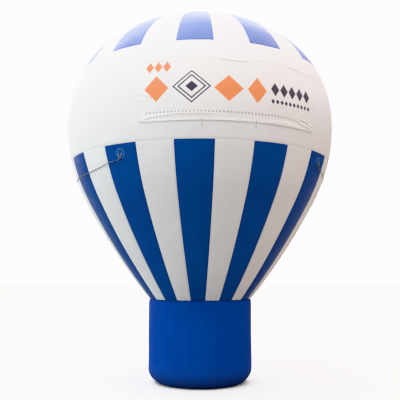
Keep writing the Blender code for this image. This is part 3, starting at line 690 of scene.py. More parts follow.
def makeFloor():
    # A wide disc just under the object. The camera sees its pale tones; the light that it gives back is tinted
    # from left to right
    s = studio
    material, tree, shader = newMaterial("pale floor", Roughness=0.9)
    place, seen = read(tree, "TexCoord", "Object"), read(tree, "LightPath", "Is Camera Ray")
    across = place.parts()[0].ramp(-s["bounceReach"], s["bounceReach"])
    tint = seen.mix(across.mix(s["bounceLeft"], s["bounceRight"]), place.noise(3.0, 4.0).mix(*s["floorTones"]))
    tree.links.new(tint.socket, shader.inputs["Base Color"])
    rim = atBearing(evenAngles(s["floorCorners"]), s["floorRadius"], 0.0)
    mesh = bpy.data.meshes.new("floor")
    mesh.from_pydata(rim.tolist(), [], [list(range(s["floorCorners"]))])
    mesh.materials.append(material)
    floor = linked(bpy.data.objects.new("floor", mesh))
    floor.location.z = -s["floorDepth"]


makeCamera()
makeLight()
makeFloor()
print("studio made")


# Envelope: the side view is a chain of arcs, and the skin is that side view at every bearing

envelope = {
    "top": 5.0,
    "arcs": ((2.172, 33.34), (1.414, 56.68), (2.273, 28.29), (8.046, 11.04)),  # radius, degrees turned
    "gores": 24,
    "skin": 0.010,
    "capRadius": 0.22,
    "crownLine": 4.11,
    "stripeLine": 2.928,
    "bandSeams": 0.25,  # how much of a seam's depth shows on the white band
    "seamDepth": 0.0040,
    "seamWidth": 0.011,
    "swell": 0.0040,  # from seam to the middle of a gore
    "puckers": 0.0013,
    "puckerLength": 0.055,
    "puckerReach": 0.055,
    "pleats": 0.0050,
    "pleatReach": 0.16,
    "pleatCount": 54,
    "slowWaves": 0.0020,
    "slowLength": 0.85,
    "columns": 17,  # of each gore
    "rows": (92, 70),  # of a lower gore and of a crown panel
    "band": (480, 64),  # columns and rows
    "underCap": 0.03,  # how far a crown panel reaches under the cap's hem
}
anchors = {
    "bearings": {"front_left": -45, "front_right": 45, "rear_right": 135, "rear_left": -135},
    "height": 2.82,
    "dent": 0.0045,
    "dentReach": 0.10,
}


def envelopeAt(turn, lift=0.0):
    # Radius and height after a turn from the top, moved out by a lift. Over each arc the radius grows by
    # R (sin end - sin start) and the height falls by R (cos start - cos end)
    turn = np.asarray(turn, float)
    radius, height = lift * np.sin(turn), envelope["top"] + lift * np.cos(turn)
    begun = 0.0
    for size, degrees in envelope["arcs"]:
        end = np.clip(turn, begun, begun + math.radians(degrees))
        radius = radius + size * (np.sin(end) - math.sin(begun))
        height = height - size * (math.cos(begun) - np.cos(end))
        begun += math.radians(degrees)
    return radius, height


turnTable = np.linspace(0, math.radians(sum(degrees for _, degrees in envelope["arcs"])), 4001)
tableRadius, tableHeight = envelopeAt(turnTable)
tableRun = runOf(together(tableRadius, tableHeight))


def radiusAtRun(run):
    # Radius of the side view at a run, read from the table
    return np.interp(run, tableRun, tableRadius)


def runAtHeight(height):
    # Run at a height, read from the table with its heights negated, because they fall as the run grows
    return np.interp(-np.asarray(height, float), -tableHeight, tableRun)


widest = tableRadius.argmax()
runs = {
    "cap": np.interp(envelope["capRadius"], tableRadius[:widest], tableRun[:widest]),
    "crown": runAtHeight(envelope["crownLine"]),
    "stripe": runAtHeight(envelope["stripeLine"]),
    "throat": tableRun[-1],
    "anchor": runAtHeight(anchors["height"]),
}
goreAngle = fullTurn / envelope["gores"]


def seamDistances(bearing, run):
    # How far a point of the skin is from the nearest upright seam, and from the nearest level one
    across = 2 * np.abs((bearing / goreAngle + 0.5) % 1 - 0.5)
    upright = (1 - across) * radiusAtRun(run) * goreAngle / 2
    return across, upright, np.min([np.abs(run - runs[name]) for name in ("crown", "stripe", "throat")], axis=0)


def plainSkin(bearing, run, lift=0.0):
    # The skin's point at a bearing and a run down the side view, moved out by a lift
    return atBearing(bearing, *envelopeAt(np.interp(run, tableRun, turnTable), lift))


def skinSwell(bearing, run):
    # How far the blown-up skin stands off the plain side view: gores swell between their seams, seams pull in,
    # small puckers run across them, the throat is pleated, and slow waves run over the whole
    e = envelope
    across, upright, level = seamDistances(bearing, run)
    onBand = fade(run - runs["crown"], -0.05, 0.05) * fade(runs["stripe"] - run, -0.05, 0.05)
    share = 1 - (1 - e["bandSeams"]) * onBand
    lift = -e["swell"] * across**2 * share * (0.35 + 0.65 * fade(level, 0.0, 0.20))
    lift = lift - e["seamDepth"] * (share * bell(upright, e["seamWidth"]) + 0.7 * bell(level, e["seamWidth"]))
    number = np.floor(bearing / goreAngle)
    flat = together(bearing * 1.8, run, 0.0)
    ripple, strength = fullTurn / e["puckerLength"], 0.5 + 0.5 * waves(flat, 0.7, 5)
    pucker = np.sin(run * ripple + 2.1 * np.sin(7 * run + 1.7 * number) + number)
    pucker = pucker * share * across**3 * np.exp(-upright / e["puckerReach"])
    sideways = np.sin(bearing * radiusAtRun(run) * ripple + 1.8 * waves(flat, 0.5, 8))
    lift = lift + e["puckers"] * strength * (pucker + sideways * np.exp(-level / e["puckerReach"]))
    pleat = np.sin(bearing * e["pleatCount"] + 1.9 * np.sin(5 * bearing) + 1.1 * np.sin(11 * bearing + 1))
    lift = lift + e["pleats"] * np.exp((run - runs["throat"]) / e["pleatReach"]) * (pleat - 1) / 2
    place = plainSkin(bearing, run)
    lift = lift + e["slowWaves"] * waves(place, e["slowLength"], 3)
    for degrees in anchors["bearings"].values():
        apart = np.linalg.norm(place - plainSkin(math.radians(degrees), runs["anchor"]), axis=-1)
        lift = lift - anchors["dent"] * bell(apart, anchors["dentReach"])
    return lift


def skin(bearing, run, lift=0.0):
    # The same on the blown-up skin
    bearing, run = np.broadcast_arrays(np.asarray(bearing, float), np.asarray(run, float))
    return plainSkin(bearing, run, skinSwell(bearing, run) + lift)


# Anchors: a patch bent onto the skin, a loop of webbing, a ring, and the line tied to it

anchorPatch = {
    "radius": 0.065,
    "thick": 0.0028,
    "rim": 0.008,
    "webWidth": 0.030,
    "webReach": 0.028,
    "webThick": 0.0020,
    "barLift": 0.0078,  # middle of the ring's bar above the skin
    "ringWire": 0.003,
    "ringHalfWidth": 0.023,
    "ringCorner": 0.006,
    "ringLeg": 0.010,
    "stitch": (0.0030, 0.0008, 0.0007),
    "sewnBox": (0.012, 0.0115, 0.0255),  # half width, then where it begins and ends up the webbing
}


def skinAxes(bearing, run):
    # Along the skin, up it and out of it, as three rows
    turn = np.interp(run, tableRun, turnTable)
    out = [math.sin(turn) * math.sin(bearing), -math.sin(turn) * math.cos(bearing), math.cos(turn)]
    up = [-math.cos(turn) * math.sin(bearing), math.cos(turn) * math.cos(bearing), math.sin(turn)]
    return np.array([[math.cos(bearing), math.sin(bearing), 0.0], up, out])


def layOnSkin(shape, bearing, run, surface=skin):
    # Bends a shape made flat, with X across, Y up and Z out, onto the skin round one place
    x, y, z = shape["points"].T
    return shape | {"points": surface(bearing + x / radiusAtRun(run), run - y, z)}


def ringPlace(name):
    # The middle of a ring's straight bar, and the ring's foot
    bearing = math.radians(anchors["bearings"][name])
    bar = skin(bearing, runs["anchor"], anchorPatch["barLift"])
    return bearing, bar, bar - [0, 0, anchorPatch["ringLeg"] + anchorPatch["ringHalfWidth"]]


def makeAnchor(name):
    # The patch is a turned disc and the webbing a ribbon over the ring's bar, both made flat and then bent onto
    # the skin. The ring is a tube along a D
    a = anchorPatch
    bearing, bar, _ = ringPlace(name)

    def addOnSkin(title, shape, material, *replaces):
        # Bends a flat shape onto the skin at the anchor, as a piece
        addPiece(f"{title}_{name}", layOnSkin(shape, bearing, runs["anchor"]), material, "blue_webbing", *replaces)

    edge, rim, thick = a["radius"], a["radius"] - a["rim"], a["thick"]
    profile = [(0, thick), (0.02, thick), (0.04, thick), (rim - 0.003, thick), (rim, thick + 0.0007)]
    profile += [(edge - 0.002, thick + 0.0006), (edge, thick - 0.0006)]
    disc = turnedShape(profile + [(edge, 0.0008), (edge - 0.004, 0.0004), (0, 0.0004)], 72)
    x, y, _ = disc["points"].T
    disc.update(seam=edge - np.hypot(x, y), along=np.arctan2(x, y) * edge, uv=together(x, y))
    addOnSkin("patch", disc, "patch", f"anchor_patch_{name}")

    # The webbing lies flat, rises over the ring's bar as part of a circle, and comes down the other side
    top = thick + a["webThick"] / 2 + 0.0002
    half = [(-a["webReach"], top), (-0.020, top + 0.0002), (-0.013, top + 0.0001), (-0.0085, top + 0.0004)]
    half += [(-0.0062, top + 0.3 * (a["barLift"] - top))]
    half = np.concatenate([half, arc((0, a["barLift"]), a["ringWire"] + a["webThick"] / 2 + 0.0002, 170, 90, 6)])
    line = np.concatenate([half, half[-2::-1] * [-1, 1]])
    line = smoothPath(np.column_stack([0 * line[:, 0], line]), 0.0012)
    slope = unit(np.gradient(line, axis=0))
    across = a["webWidth"] / 2 * np.array([-1, -0.97, -0.5, 0, 0.5, 0.97, 1])
    halfThick = a["webThick"] / 2 * np.array([0.55, 1, 1, 1, 1, 1, 0.55])
    web = ribbonShape(line, (1, 0, 0), slope[:, [0, 2, 1]] * [0, -1, 1], across, halfThick, runOf(line))
    addOnSkin("webbing", web, "webbing", f"anchor_patch_{name}")

    # On each side of the ring a sewn box with a cross in it
    wide, low, high = a["sewnBox"]
    middle, height = (low + high) / 2, thick + a["webThick"] + 0.0004
    stitches = []
    for side in (-1, 1):
        spots = [(x, side * y, 0) for y in (low, high) for x in np.linspace(-wide, wide, 7)]
        ends = (-wide - 0.0005, wide + 0.0005)
        spots += [(x, side * y, -math.pi / 2) for x in ends for y in (middle - 0.004, middle, middle + 0.004)]
        for t in np.linspace(-0.38, 0.38, 5):
            for lean in (-0.014, 0.014):
                spots.append((0.025 * t, side * middle + lean * t, math.atan2(lean, 0.025)))
        stitches += [barAt(a["stitch"], 0.0002, (x, y, height), angle) for x, y, angle in spots]
    addOnSkin("web_stitches", joinedShape(stitches), "thread")

    inside, corner = a["ringHalfWidth"] - a["ringCorner"], a["ringCorner"]
    bends = [
        np.linspace((-inside, 0), (inside, 0), 12),
        arc((inside, -corner), corner, 90, 0, 9),
        arc((0, -a["ringLeg"]), a["ringHalfWidth"], 0, -180, 40),
        arc((-inside, -corner), corner, 180, 90, 9),
    ]
    loop = np.concatenate([bend[:-1] for bend in bends])
    path = bar + loop[:, :1] * skinAxes(bearing, runs["anchor"])[0] + loop[:, 1:] * [0, 0, 1]
    ring = tubeShape(path, atBearing(bearing, 1, 0), a["ringWire"], 16, closed=True)
    addPiece(f"ring_{name}", ring, "steel", "ring_steel", f"d_ring_{name}")


guyLine = {
    "radius": 0.004,
    "step": 0.0026,
    "lay": 0.030,
    "dip": 0.17,
    # degrees past the ring, drop below the ring's foot, distance from the plain skin
    "route": (
        (0.0, 0.0005, 0.0144),
        (0.0, 0.0110, 0.0144),
        (0.35, 0.0220, 0.0110),
        (1.5, 0.0320, 0.0070),
        (4.5, 0.0420, 0.0058),
        (8.0, 0.0570, 0.0056),
        (13.5, 0.0870, 0.0056),
        (21.5, 0.1120, 0.0056),
        (30.0, 0.1190, 0.0056),
        (37.5, 0.1215, 0.0056),
        (45.0, 0.1220, 0.0056),
    ),
    "knotTurns": 3,
    "knotPitch": 0.0082,
    "tails": {"front_left": 0.034, "front_right": 0.072, "rear_left": 0.050, "rear_right": 0.042},
}


def linePath(front, rear, side):
    # From the front ring to the rear ring of one side, through the route's points and their mirror images
    foot = ringPlace(front)[2] - [0, 0, anchorPatch["ringWire"]]
    past, drop, away = np.array(guyLine["route"]).T
    bearing = np.concatenate([np.radians(45 + past), math.pi - np.radians(45 + past[-2::-1])])
    height = foot[2] - np.concatenate([drop, drop[-2::-1]])
    reach = radiusAtRun(runAtHeight(height)) + np.concatenate([away, away[-2::-1]])
    points = atBearing(side * bearing, reach, height)
    for end, name in ((0, front), (-1, rear)):
        points[end] = ringPlace(name)[2] - [0, 0, anchorPatch["ringWire"] + guyLine["route"][0][1]]
    return smoothPath(points, guyLine["step"])


def ropeShape(path, side, radius):
    # A tube of three laid strands
    return tubeShape(path, side, radius, 18, strands=3, dip=guyLine["dip"], lay=guyLine["lay"])


def makeKnot(name, line):
    # One more length of the rope: once round the ring's foot, in close turns round the line below it, then a
    # tail that hangs down. The turns are a helix about the line's own path
    g, wire = guyLine, anchorPatch["ringWire"]
    bearing, _, foot = ringPlace(name)
    out, down = atBearing(bearing, 1, 0), np.array([0, 0, -1.0])
    across = (-1 if name.endswith("left") else 1) * np.array([math.cos(bearing), math.sin(bearing), 0])
    wide = wire + g["radius"] + 0.0002
    t = np.linspace(0, 1, 22)[:, None]
    turn = math.pi / 2 + fullTurn * t
    eye = foot + wide * (np.cos(turn) * out + np.sin(turn) * down) + 2.05 * g["radius"] * t * across
    t = np.linspace(0.06, 1, 14 * g["knotTurns"])
    centre = readRows(wire + 0.0045 + t * g["knotTurns"] * g["knotPitch"], runOf(line), line)
    turn = fullTurn * g["knotTurns"] * t[:, None]
    coil = centre + 2.0 * g["radius"] * (np.cos(turn) * across - np.sin(turn) * out)
    length = g["tails"][name]
    t = np.linspace(0.15, 1, 7)[:, None]
    sway = 0.010 * np.sin(2.2 * t) * across + 0.010 * np.sin(math.pi * t * 0.8) * out - 0.006 * t * out
    path = smoothPath(np.concatenate([eye, coil, coil[-1] + sway + down * length * t]), 0.0018)
    run = runOf(path)
    first, last = fullTurn * wide, run[-1] - length
    marks = [0, first, first + 0.010, last - 0.002, last + 0.014, run[-1]]
    side = readRows(run, marks, [across, across, down, down, out, out])
    return addPiece(f"knot_{name}", ropeShape(path, side, g["radius"] * 0.98), "rope", "line_rope")


def makeLine(word, side):
    # The rope is a tube along the line's path, and its length is the sum of the path's steps
    ends, radius = (f"front_{word}", f"rear_{word}"), guyLine["radius"]
    path = linePath(*ends, side)
    rope = ropeShape(path, path * [1, 1, 0], radius)
    line = addPiece(f"line_{word}", rope, "rope", "line_rope", f"guy_line_{word}")
    knots = [makeKnot(ends[0], path), makeKnot(ends[1], path[::-1])]


makeLine("left", -1)
makeLine("right", 1)
for anchorName in anchors["bearings"]:
    makeAnchor(anchorName)
print("anchors made")


def makePanel(name, bearings, top, bottom, rows, material, slot, node, wrap=False):
    # One sewn panel: the blown-up skin outside and a plain skin's thickness further in
    run = (top + bottom) / 2 + spread(rows) * (bottom - top) / 2
    bearing, run = np.meshgrid(bearings, run)
    _, upright, level = seamDistances(bearing, run)
    around = bearing * radiusAtRun(run)
    seam = level if wrap else np.minimum(upright, level)
    along = np.where(upright < level, run, around)
    inner = plainSkin(bearing, run, -envelope["skin"])
    shape = shellShape(skin(bearing, run), inner, wrap, uv=together(around, run), seam=seam, along=along)
    addPiece(name, shape, material, slot, node)


def makeEnvelope():
    # Each gore is a panel below the stripe line and another above the crown line. The band between is one panel
    e = envelope
    (lowRows, highRows), (bandColumns, bandRows) = e["rows"], e["band"]
    across = spread(e["columns"]) * goreAngle / 2
    for number in range(e["gores"]):
        look = "blue" if number % 2 else "white"
        order, bearings, slot = f"{number // 2 + 1:02d}", number * goreAngle + across, f"{look}_fabric"
        node = f"lower_{look}_gore_{order}"
        makePanel(f"{look}_gore_{order}", bearings, runs["stripe"], runs["throat"], lowRows, look, slot, node)
        cloth, node = ("crown", f"crown_blue_gore_{order}") if look == "blue" else ("white", "white_crown")
        top = runs["cap"] - e["underCap"]
        makePanel(f"crown_{look}_panel_{order}", bearings, top, runs["crown"], highRows, cloth, slot, node)
    band = (evenAngles(bandColumns), runs["crown"], runs["stripe"], bandRows)
    makePanel("band_panel", *band, "white", "white_fabric", "white_band", True)
    print("envelope made")


cap = {
    "thick": 0.0035,
    "lift": 0.0005,  # its underside above the skin
    "hem": ((0.030, 0), (0.022, 0.0015), (0.004, 0.0015), (0, -0.002)),  # distance from the edge and rise
    "rows": 26,
    "columns": 96,
}


def makeCap():
    # The round cap over the crown: a thin shell that follows the skin, with a hem at its edge. Its rows lie
    # closer together towards the edge
    edge, columns = runs["cap"], cap["columns"]
    run = edge * (1 - (1 - np.linspace(0, 1, cap["rows"])) ** 1.3)
    inwards, rise = np.array(cap["hem"]).T
    rise = np.interp(run, edge - inwards, rise)
    turn = np.interp(run, tableRun, turnTable)
    outer = together(*envelopeAt(turn, cap["thick"] + rise))
    inner = together(*envelopeAt(turn[::-1], cap["lift"]))
    outer[0, 0] = inner[-1, 0] = 0
    shape = turnedShape(np.concatenate([outer, inner]), columns)
    distance = np.concatenate([edge - run, 0 * run])[1:-1]
    shape["seam"] = np.append(np.repeat(distance, columns), [1.0, 1.0])
    shape["along"] = np.append(np.tile(evenAngles(columns), len(distance)) * envelope["capRadius"], [0, 0])
    shape["uv"] = shape["points"][:, :2].copy()
    addPiece("crown_cap_patch", shape, "crown", "blue_fabric", "crown_cap")
    print("cap made")


makeEnvelope()
makeCap()


# Banner: a printed sheet stretched over the front of the band, held by elastic loops

banner = {
    "halfAngle": 35.3,
    "top": 3.88,
    "bottom": 3.13,
    "cut": (2.26, 0.76),
    "under": 0.0008,  # above the skin
    "thick": 0.0014,
    "hem": 0.020,
    "hemRise": 0.0014,
    "edgeRise": 0.0045,  # how far the free edge stands off between the fixings
    "radius": 1.80,
    "columns": 190,
    "rows": 150,
    # rise, half width, then the fold's line as bearing and height
    "folds": (
        (0.0040, 0.010, ((-35.3, 3.872), (-30.6, 3.848), (-23.3, 3.822), (-17.0, 3.826))),
        (0.0065, 0.010, ((-8.0, 3.860), (-2.9, 3.840), (1.2, 3.832), (7.5, 3.851))),
        (0.0050, 0.012, ((22.0, 3.868), (29.5, 3.858), (35.3, 3.825))),
        (0.0040, 0.008, ((-35.3, 3.682), (-33.6, 3.676))),
        (0.0050, 0.008, ((-35.3, 3.470), (-29.5, 3.398))),
        (0.0035, 0.007, ((-35.3, 3.385), (-31.8, 3.368))),
        (0.0042, 0.013, ((-35.3, 3.150), (-30.4, 3.186), (-20.6, 3.205), (-12.2, 3.208), (-3.0, 3.196))),
        (0.0055, 0.009, ((22.5, 3.232), (30.8, 3.182), (35.3, 3.150))),
        (0.0040, 0.008, ((27.5, 3.248), (35.3, 3.195))),
        (0.0030, 0.014, ((9.0, 3.150), (20.0, 3.162), (30.0, 3.148))),
    ),
    "fixings": (-12.2, 7.6),
    "lowHeld": (-34.4, -12.2, 7.6, 34.4),  # where hook tape or a fixing holds the lower hem, and the upper one
    "topHeld": (-34.4, -17.0, 0.0, 17.0, 34.4),
    "eyeletInset": 0.011,  # from the lower edge
    "loopReach": 0.062,
    "tabInset": 0.008,  # from the loop's far end
    "loopWire": 0.0010,
    # radius and height
    "eyelet": ((0.0045, 0.0002), (0.0048, 0.0010), (0.0060, 0.0014), (0.0078, 0.0009), (0.0084, 0.0002),
               (0.0084, -0.0003), (0.0045, -0.0003)),
    "button": ((0, 0.0062), (0.0030, 0.0060), (0.0046, 0.0052), (0.0050, 0.0042), (0.0026, 0.0036),
               (0.0024, 0.0016), (0, 0.0016)),
    "tab": (0.018, 0.024, 0.0012),
}
lowRun, topRun = runAtHeight(banner["bottom"]), runAtHeight(banner["top"])


def edgeDistances(bearing, run):
    # How far a point of the banner is from its lower, its upper and its nearer upright edge
    b = banner
    return lowRun - run, run - topRun, (b["halfAngle"] - np.abs(np.degrees(bearing))) * math.radians(1) * b["radius"]


def bannerRise(bearing, run):
    # How far the banner stands off the skin: hems, edges that lift between the fixings, and folds. A fold is
    # a ridge that falls off with the distance from its line as exp(-(d / w)^2) and fades out at its ends
    b = banner
    degrees = np.degrees(bearing)
    up, down, sideways = edgeDistances(bearing, run)
    nearest = np.minimum(np.minimum(up, down), sideways)
    rise = b["hemRise"] * (1 - fade(nearest, b["hem"] - 0.002, b["hem"] + 0.001))
    for edge, places, reach in ((up, b["lowHeld"], 1.0), (down, b["topHeld"], 0.3)):
        share = np.interp(degrees, places, np.arange(len(places)))
        free = 0.5 + 0.5 * np.sin(math.pi * (share % 1)) ** 2
        rise = rise + reach * b["edgeRise"] * np.exp(-edge / 0.018) * free
    for height, width, line in b["folds"]:
        places, heights = np.array(line).T
        share = np.clip((degrees - places[0]) / (places[-1] - places[0]), 0, 1)
        away = runAtHeight(np.interp(degrees, places, heights)) - run
        ends = fade(share, 0, 0.25) * fade(-share, -1, -0.7)
        if places[0] < -b["halfAngle"] + 0.2:
            ends = np.where(share < 0.5, 1.0, ends) * (degrees >= places[0] - 1)
        if places[-1] > b["halfAngle"] - 0.2:
            ends = np.where(share > 0.5, 1.0, ends)
        rise = rise + height * ends * (bell(away, width) + 0.25 * bell(away, width * 2.6))
    return rise


def onBanner(bearing, run, lift=0.0):
    # A point of the banner's outer side: the skin's, further out by the thickness and the rise
    return skin(bearing, run, banner["under"] + banner["thick"] + bannerRise(bearing, run) + lift)


def makeBanner():
    # A sheet between two grids on the skin: the outer one stands off by bannerRise, the inner by 0.9 of it
    b = banner
    bearing = np.radians(b["halfAngle"]) * spread(b["columns"], 0.45)
    run = (lowRun + topRun) / 2 + spread(b["rows"], 0.55) * (lowRun - topRun) / 2
    bearing, run = np.meshgrid(bearing, run)
    inner = skin(bearing, run, b["under"] + bannerRise(bearing, run) * 0.9)
    up, down, sideways = edgeDistances(bearing, run)
    level, around = np.minimum(up, down), bearing * b["radius"]
    values = {"seam": np.minimum(level, sideways), "along": np.where(sideways < level, run, around)}
    shape = shellShape(onBanner(bearing, run), inner, uv=together(around, up), **values)
    sheet = addPiece("front_banner", shape, "banner", "banner_fabric", "banner")
    makeFixings()
    print("banner made")


def makeFixings():
    # At each fixing an eyelet in the lower hem, a loop of elastic, and a tab with a button on the skin
    b = banner
    eyelets, loops, tabs, buttons = [], [], [], []
    turn = evenAngles(28)
    tab = barAt(b["tab"], 0.0004, (0, 0, 0.0011))
    tab["uv"] = tab["points"][:, :2].copy()
    for bearing in np.radians(b["fixings"]):
        eyelets.append(layOnSkin(turnedShape(b["eyelet"], 24), bearing, lowRun - b["eyeletInset"], onBanner))
        past = b["loopReach"] / 2 * (1 - np.cos(turn)) - b["eyeletInset"]
        side, run = bearing + 0.0032 * np.sin(turn) / b["radius"], lowRun + past
        away = fade(past, -0.002, 0.012)
        centre = skin(side, run, 0.0058 * (1 - away) + 0.0030 * away + bannerRise(side, run) * (1 - away))
        loops.append(tubeShape(centre, skinAxes(bearing, lowRun)[2], b["loopWire"], 8, closed=True))
        place = lowRun + b["loopReach"] - b["tabInset"]
        tabs.append(layOnSkin(tab, bearing, place))
        buttons.append(layOnSkin(turnedShape(b["button"], 20), bearing, place - 0.002))
    return [
        addPiece("banner_eyelets", joinedShape(eyelets), "eyelet", "banner_fabric"),
        addPiece("banner_elastic", joinedShape(loops), "elastic", "banner_fabric"),
        addPiece("banner_tabs", joinedShape(tabs), "whiteWebbing", "white_fabric"),
        addPiece("banner_buttons", joinedShape(buttons), "whitePlastic", "white_fabric"),
    ]


makeBanner()


# Base: an upright tube of eight panels on a floor with a rounded edge

base = {
    "radius": 0.69695,
    "top": 1.0974,
    "rounding": 0.195,
    "skin": 0.010,
    "panels": 8,
    "panelStart": 22.5,  # degrees from the front to the first seam
    "seamDepth": 0.0022,
    "seamWidth": 0.012,
    "barrel": 0.0005,
    "neck": 0.006,  # how far the top is drawn in by the throat seam
    "neckReach": 0.035,
    "pleats": 60,
    "wrinkles": 0.0022,
    "holeRadius": 0.1302,
    "holeHeight": 0.38,
    "columns": 360,
    "rows": 72,
}


def basePanel(bearing):
    # Distance to the nearest upright seam of the base, as a length round it
    share = (np.degrees(bearing) - base["panelStart"]) / (360 / base["panels"])
    return np.abs(share - np.round(share)) * fullTurn / base["panels"] * base["radius"]


def onBase(bearing, height, lift=0.0):
    # A point of the wall. Its radius is the base's own, plus a slight barrel, less its seams, the draw of the
    # throat, the throat's pleats and slow waves
    b = base
    below = b["top"] - height
    swell = b["barrel"] * np.sin(math.pi * np.clip(below / (b["top"] - b["rounding"]), 0, 1)) ** 0.7
    swell = swell - b["seamDepth"] * bell(basePanel(bearing), b["seamWidth"]) * fade(below, 0.0, 0.1)
    swell = swell - b["neck"] * bell(below, b["neckReach"])
    pleat = np.sin(bearing * b["pleats"] + 2 * np.sin(7 * bearing) + np.sin(13 * bearing))
    swell = swell + 0.35 * b["neck"] * np.exp(-np.maximum(below, 0) / 0.06) * pleat * fade(below, 0.0, 0.02)
    slow = waves(together(b["radius"] * np.sin(bearing), b["radius"] * np.cos(bearing), height), 0.45, 21)
    ends = fade(below, 0, 0.1) * fade(height, b["rounding"], b["rounding"] + 0.1)
    return atBearing(bearing, b["radius"] + swell + b["wrinkles"] * slow * ends + lift, height)


def makeBaseWall():
    # A shell between the wall's outside and a plain cylinder one skin further in
    b = base
    height = b["top"] - (spread(b["rows"]) + 1) / 2 * (b["top"] - b["rounding"])
    bearing, height = np.meshgrid(evenAngles(b["columns"]), height)
    inner = atBearing(bearing, b["radius"] - b["skin"], height)
    below, around, upright = b["top"] - height, bearing * b["radius"], basePanel(bearing)
    seam = np.minimum(upright, np.minimum(below, height - b["rounding"] + 0.002))
    values = {"uv": together(around, height), "seam": seam, "along": np.where(upright < below, height, around)}
    shape = shellShape(onBase(bearing, height), inner, True, **values)
    cutHole(addPiece("base_side", shape, "base", "blue_fabric", "base_wall"))


def cutHole(piece):
    # Cuts the round hole for the sleeve through the back
    path = [[0, base["radius"] + side, base["holeHeight"]] for side in (-0.15, 0.15)]
    drill = tubeShape(path, (1, 0, 0), base["holeRadius"], 64)
    cutter = meshObject("sleeve_drill", {"points": drill["points"], "faces": drill["faces"]})
    cutter.data.materials.append(materials["base"])
    modifier = piece.modifiers.new("sleeve hole", "BOOLEAN")
    modifier.object, modifier.operation, modifier.solver = cutter, "DIFFERENCE", "EXACT"
    cut = bpy.data.meshes.new_from_object(piece.evaluated_get(bpy.context.evaluated_depsgraph_get()))
    piece.modifiers.clear()
    piece.data = cut
    bpy.data.objects.remove(cutter)


def makeBaseFloor():
    # The rounded edge is a quarter circle; the floor inside it lies flat
    b = base
    rounding, centre = b["rounding"], b["radius"] - b["rounding"]
    angle, inwards = np.linspace(0, math.pi / 2, 26), centre * (1 - np.linspace(0, 1, 12)[1:])

    def sideView(size):
        # A quarter circle of a radius, then the floor inwards from its foot
        height = np.append(rounding - size * np.sin(angle), 0 * inwards + rounding - size)
        return together(np.append(centre + size * np.cos(angle), inwards), height)

    shape = turnedShape(np.concatenate([sideView(rounding - b["skin"])[::-1], sideView(rounding)]), b["columns"])
    points = shape["points"]
    x, y, z = points.T.copy()
    bearing, span = np.arctan2(x, -y), np.hypot(x, y)
    upright, around = basePanel(bearing), bearing * b["radius"]
    onEdge = fade(span, centre, centre + 0.05) * fade(z, 0.004, 0.02)
    wrinkle = b["wrinkles"] * waves(points, 0.35, 22) * fade(-z, -rounding, -rounding + 0.05)
    points += atBearing(bearing, onEdge * (wrinkle - b["seamDepth"] * bell(upright, b["seamWidth"])), 0)
    shape["seam"] = np.where(z > 0.003, np.minimum(upright, rounding - z + 0.002), 1.0)
    shape["along"] = np.where(upright < 0.02, z, around)
    shape["uv"] = together(around, z - span)
    addPiece("base_underside", shape, "base", "blue_fabric", "base_floor")
    print("base made")


makeBaseWall()
makeBaseFloor()


# Deflation zip on the back of the base, and the collar of the sleeve's hole

baseZip = {
    "bearing": 150,
    "bottom": 0.30,
    "top": 0.90,
    "tape": (0.036, 0.0010, 0.03),  # width, thickness, and how much longer it is than the row of teeth
    "tapeLift": 0.0004,
    "pitch": 0.0040,
    "tooth": (0.0052, 0.0016, 0.0022),
    "toothPlace": (0.0016, 0.0022),  # to each side in turn, and above the base
    "flap": (0.070, 0.0012, 0.09),  # as the tape
    "flapSeam": 0.016,  # width that is sewn down
    "flapShift": 0.044,
    "flapHump": 0.008,
    # size, rounding, distance below the zip's top and height above the base
    "slider": (
        ((0.013, 0.018, 0.0030), 0.0008, 0.014, 0.0052),
        ((0.0040, 0.009, 0.0030), 0.0008, 0.014, 0.0078),
        ((0.0080, 0.034, 0.0016), 0.0006, 0.034, 0.0088),
    ),
}


def stripShape(width, length, thick, rows, columns, lift=0.0):
    # A flat strip with thinned edges, from below its middle to above it
    x, y = np.meshgrid(np.linspace(-1, 1, columns) * width / 2, np.linspace(-1, 1, rows) * length / 2)
    edge = np.minimum(width / 2 - np.abs(x), length / 2 - np.abs(y))
    outer = together(x, y, lift + thick * (0.45 + 0.55 * np.clip(edge / 0.0015, 0, 1)))
    return shellShape(outer, together(x, y, lift), uv=together(x, y), seam=edge, along=y)


def makeZip():
    # Each part is made flat along the zip and then bent round the base
    z = baseZip
    bearing, middle, length = math.radians(z["bearing"]), (z["bottom"] + z["top"]) / 2, z["top"] - z["bottom"]

    def addOnBase(name, shape, material, slot):
        # Bends a shape made flat, with X across, Y up and Z out, round the base
        x, y, rise = shape["points"].T
        bent = shape | {"points": onBase(bearing + x / base["radius"], middle + y, rise)}
        addPiece(name, bent, material, slot)

    width, thick, spare = z["tape"]
    tape = stripShape(width, length + spare, thick, 90, 9, z["tapeLift"])
    addOnBase("zip_tape", tape, "strap", "strap_webbing")
    teeth, (side, rise) = [], z["toothPlace"]
    for i in range(round(length / z["pitch"])):
        place = (side if i % 2 else -side, (i + 0.5) * z["pitch"] - length / 2, rise)
        teeth.append(barAt(z["tooth"], 0.0004, place))
    addOnBase("zip_teeth", joinedShape(teeth), "blackPlastic", "strap_webbing")
    body = [barAt(size, cut, (0, length / 2 - below, rise)) for size, cut, below, rise in z["slider"]]
    addOnBase("zip_slider", joinedShape(body), "steel", "ring_steel")
    # The flap is sewn down along one side and bulges over the teeth
    width, thick, spare = z["flap"]
    flap = stripShape(width, length + spare, thick, 110, 13)
    x, y, rise = flap["points"].T
    share = fade(x, -width / 2 + z["flapSeam"], 0.004)
    hump = z["flapHump"] + 0.0012 * np.sin(y * 34) + 0.0010 * np.sin(y * 71 + 1)
    flap["points"] = together(x + z["flapShift"] + 0.010 * share, y, rise + 0.0010 + hump * (1 - share) ** 2)
    addOnBase("zip_flap", flap, "base", "blue_fabric")
    print("zip made")


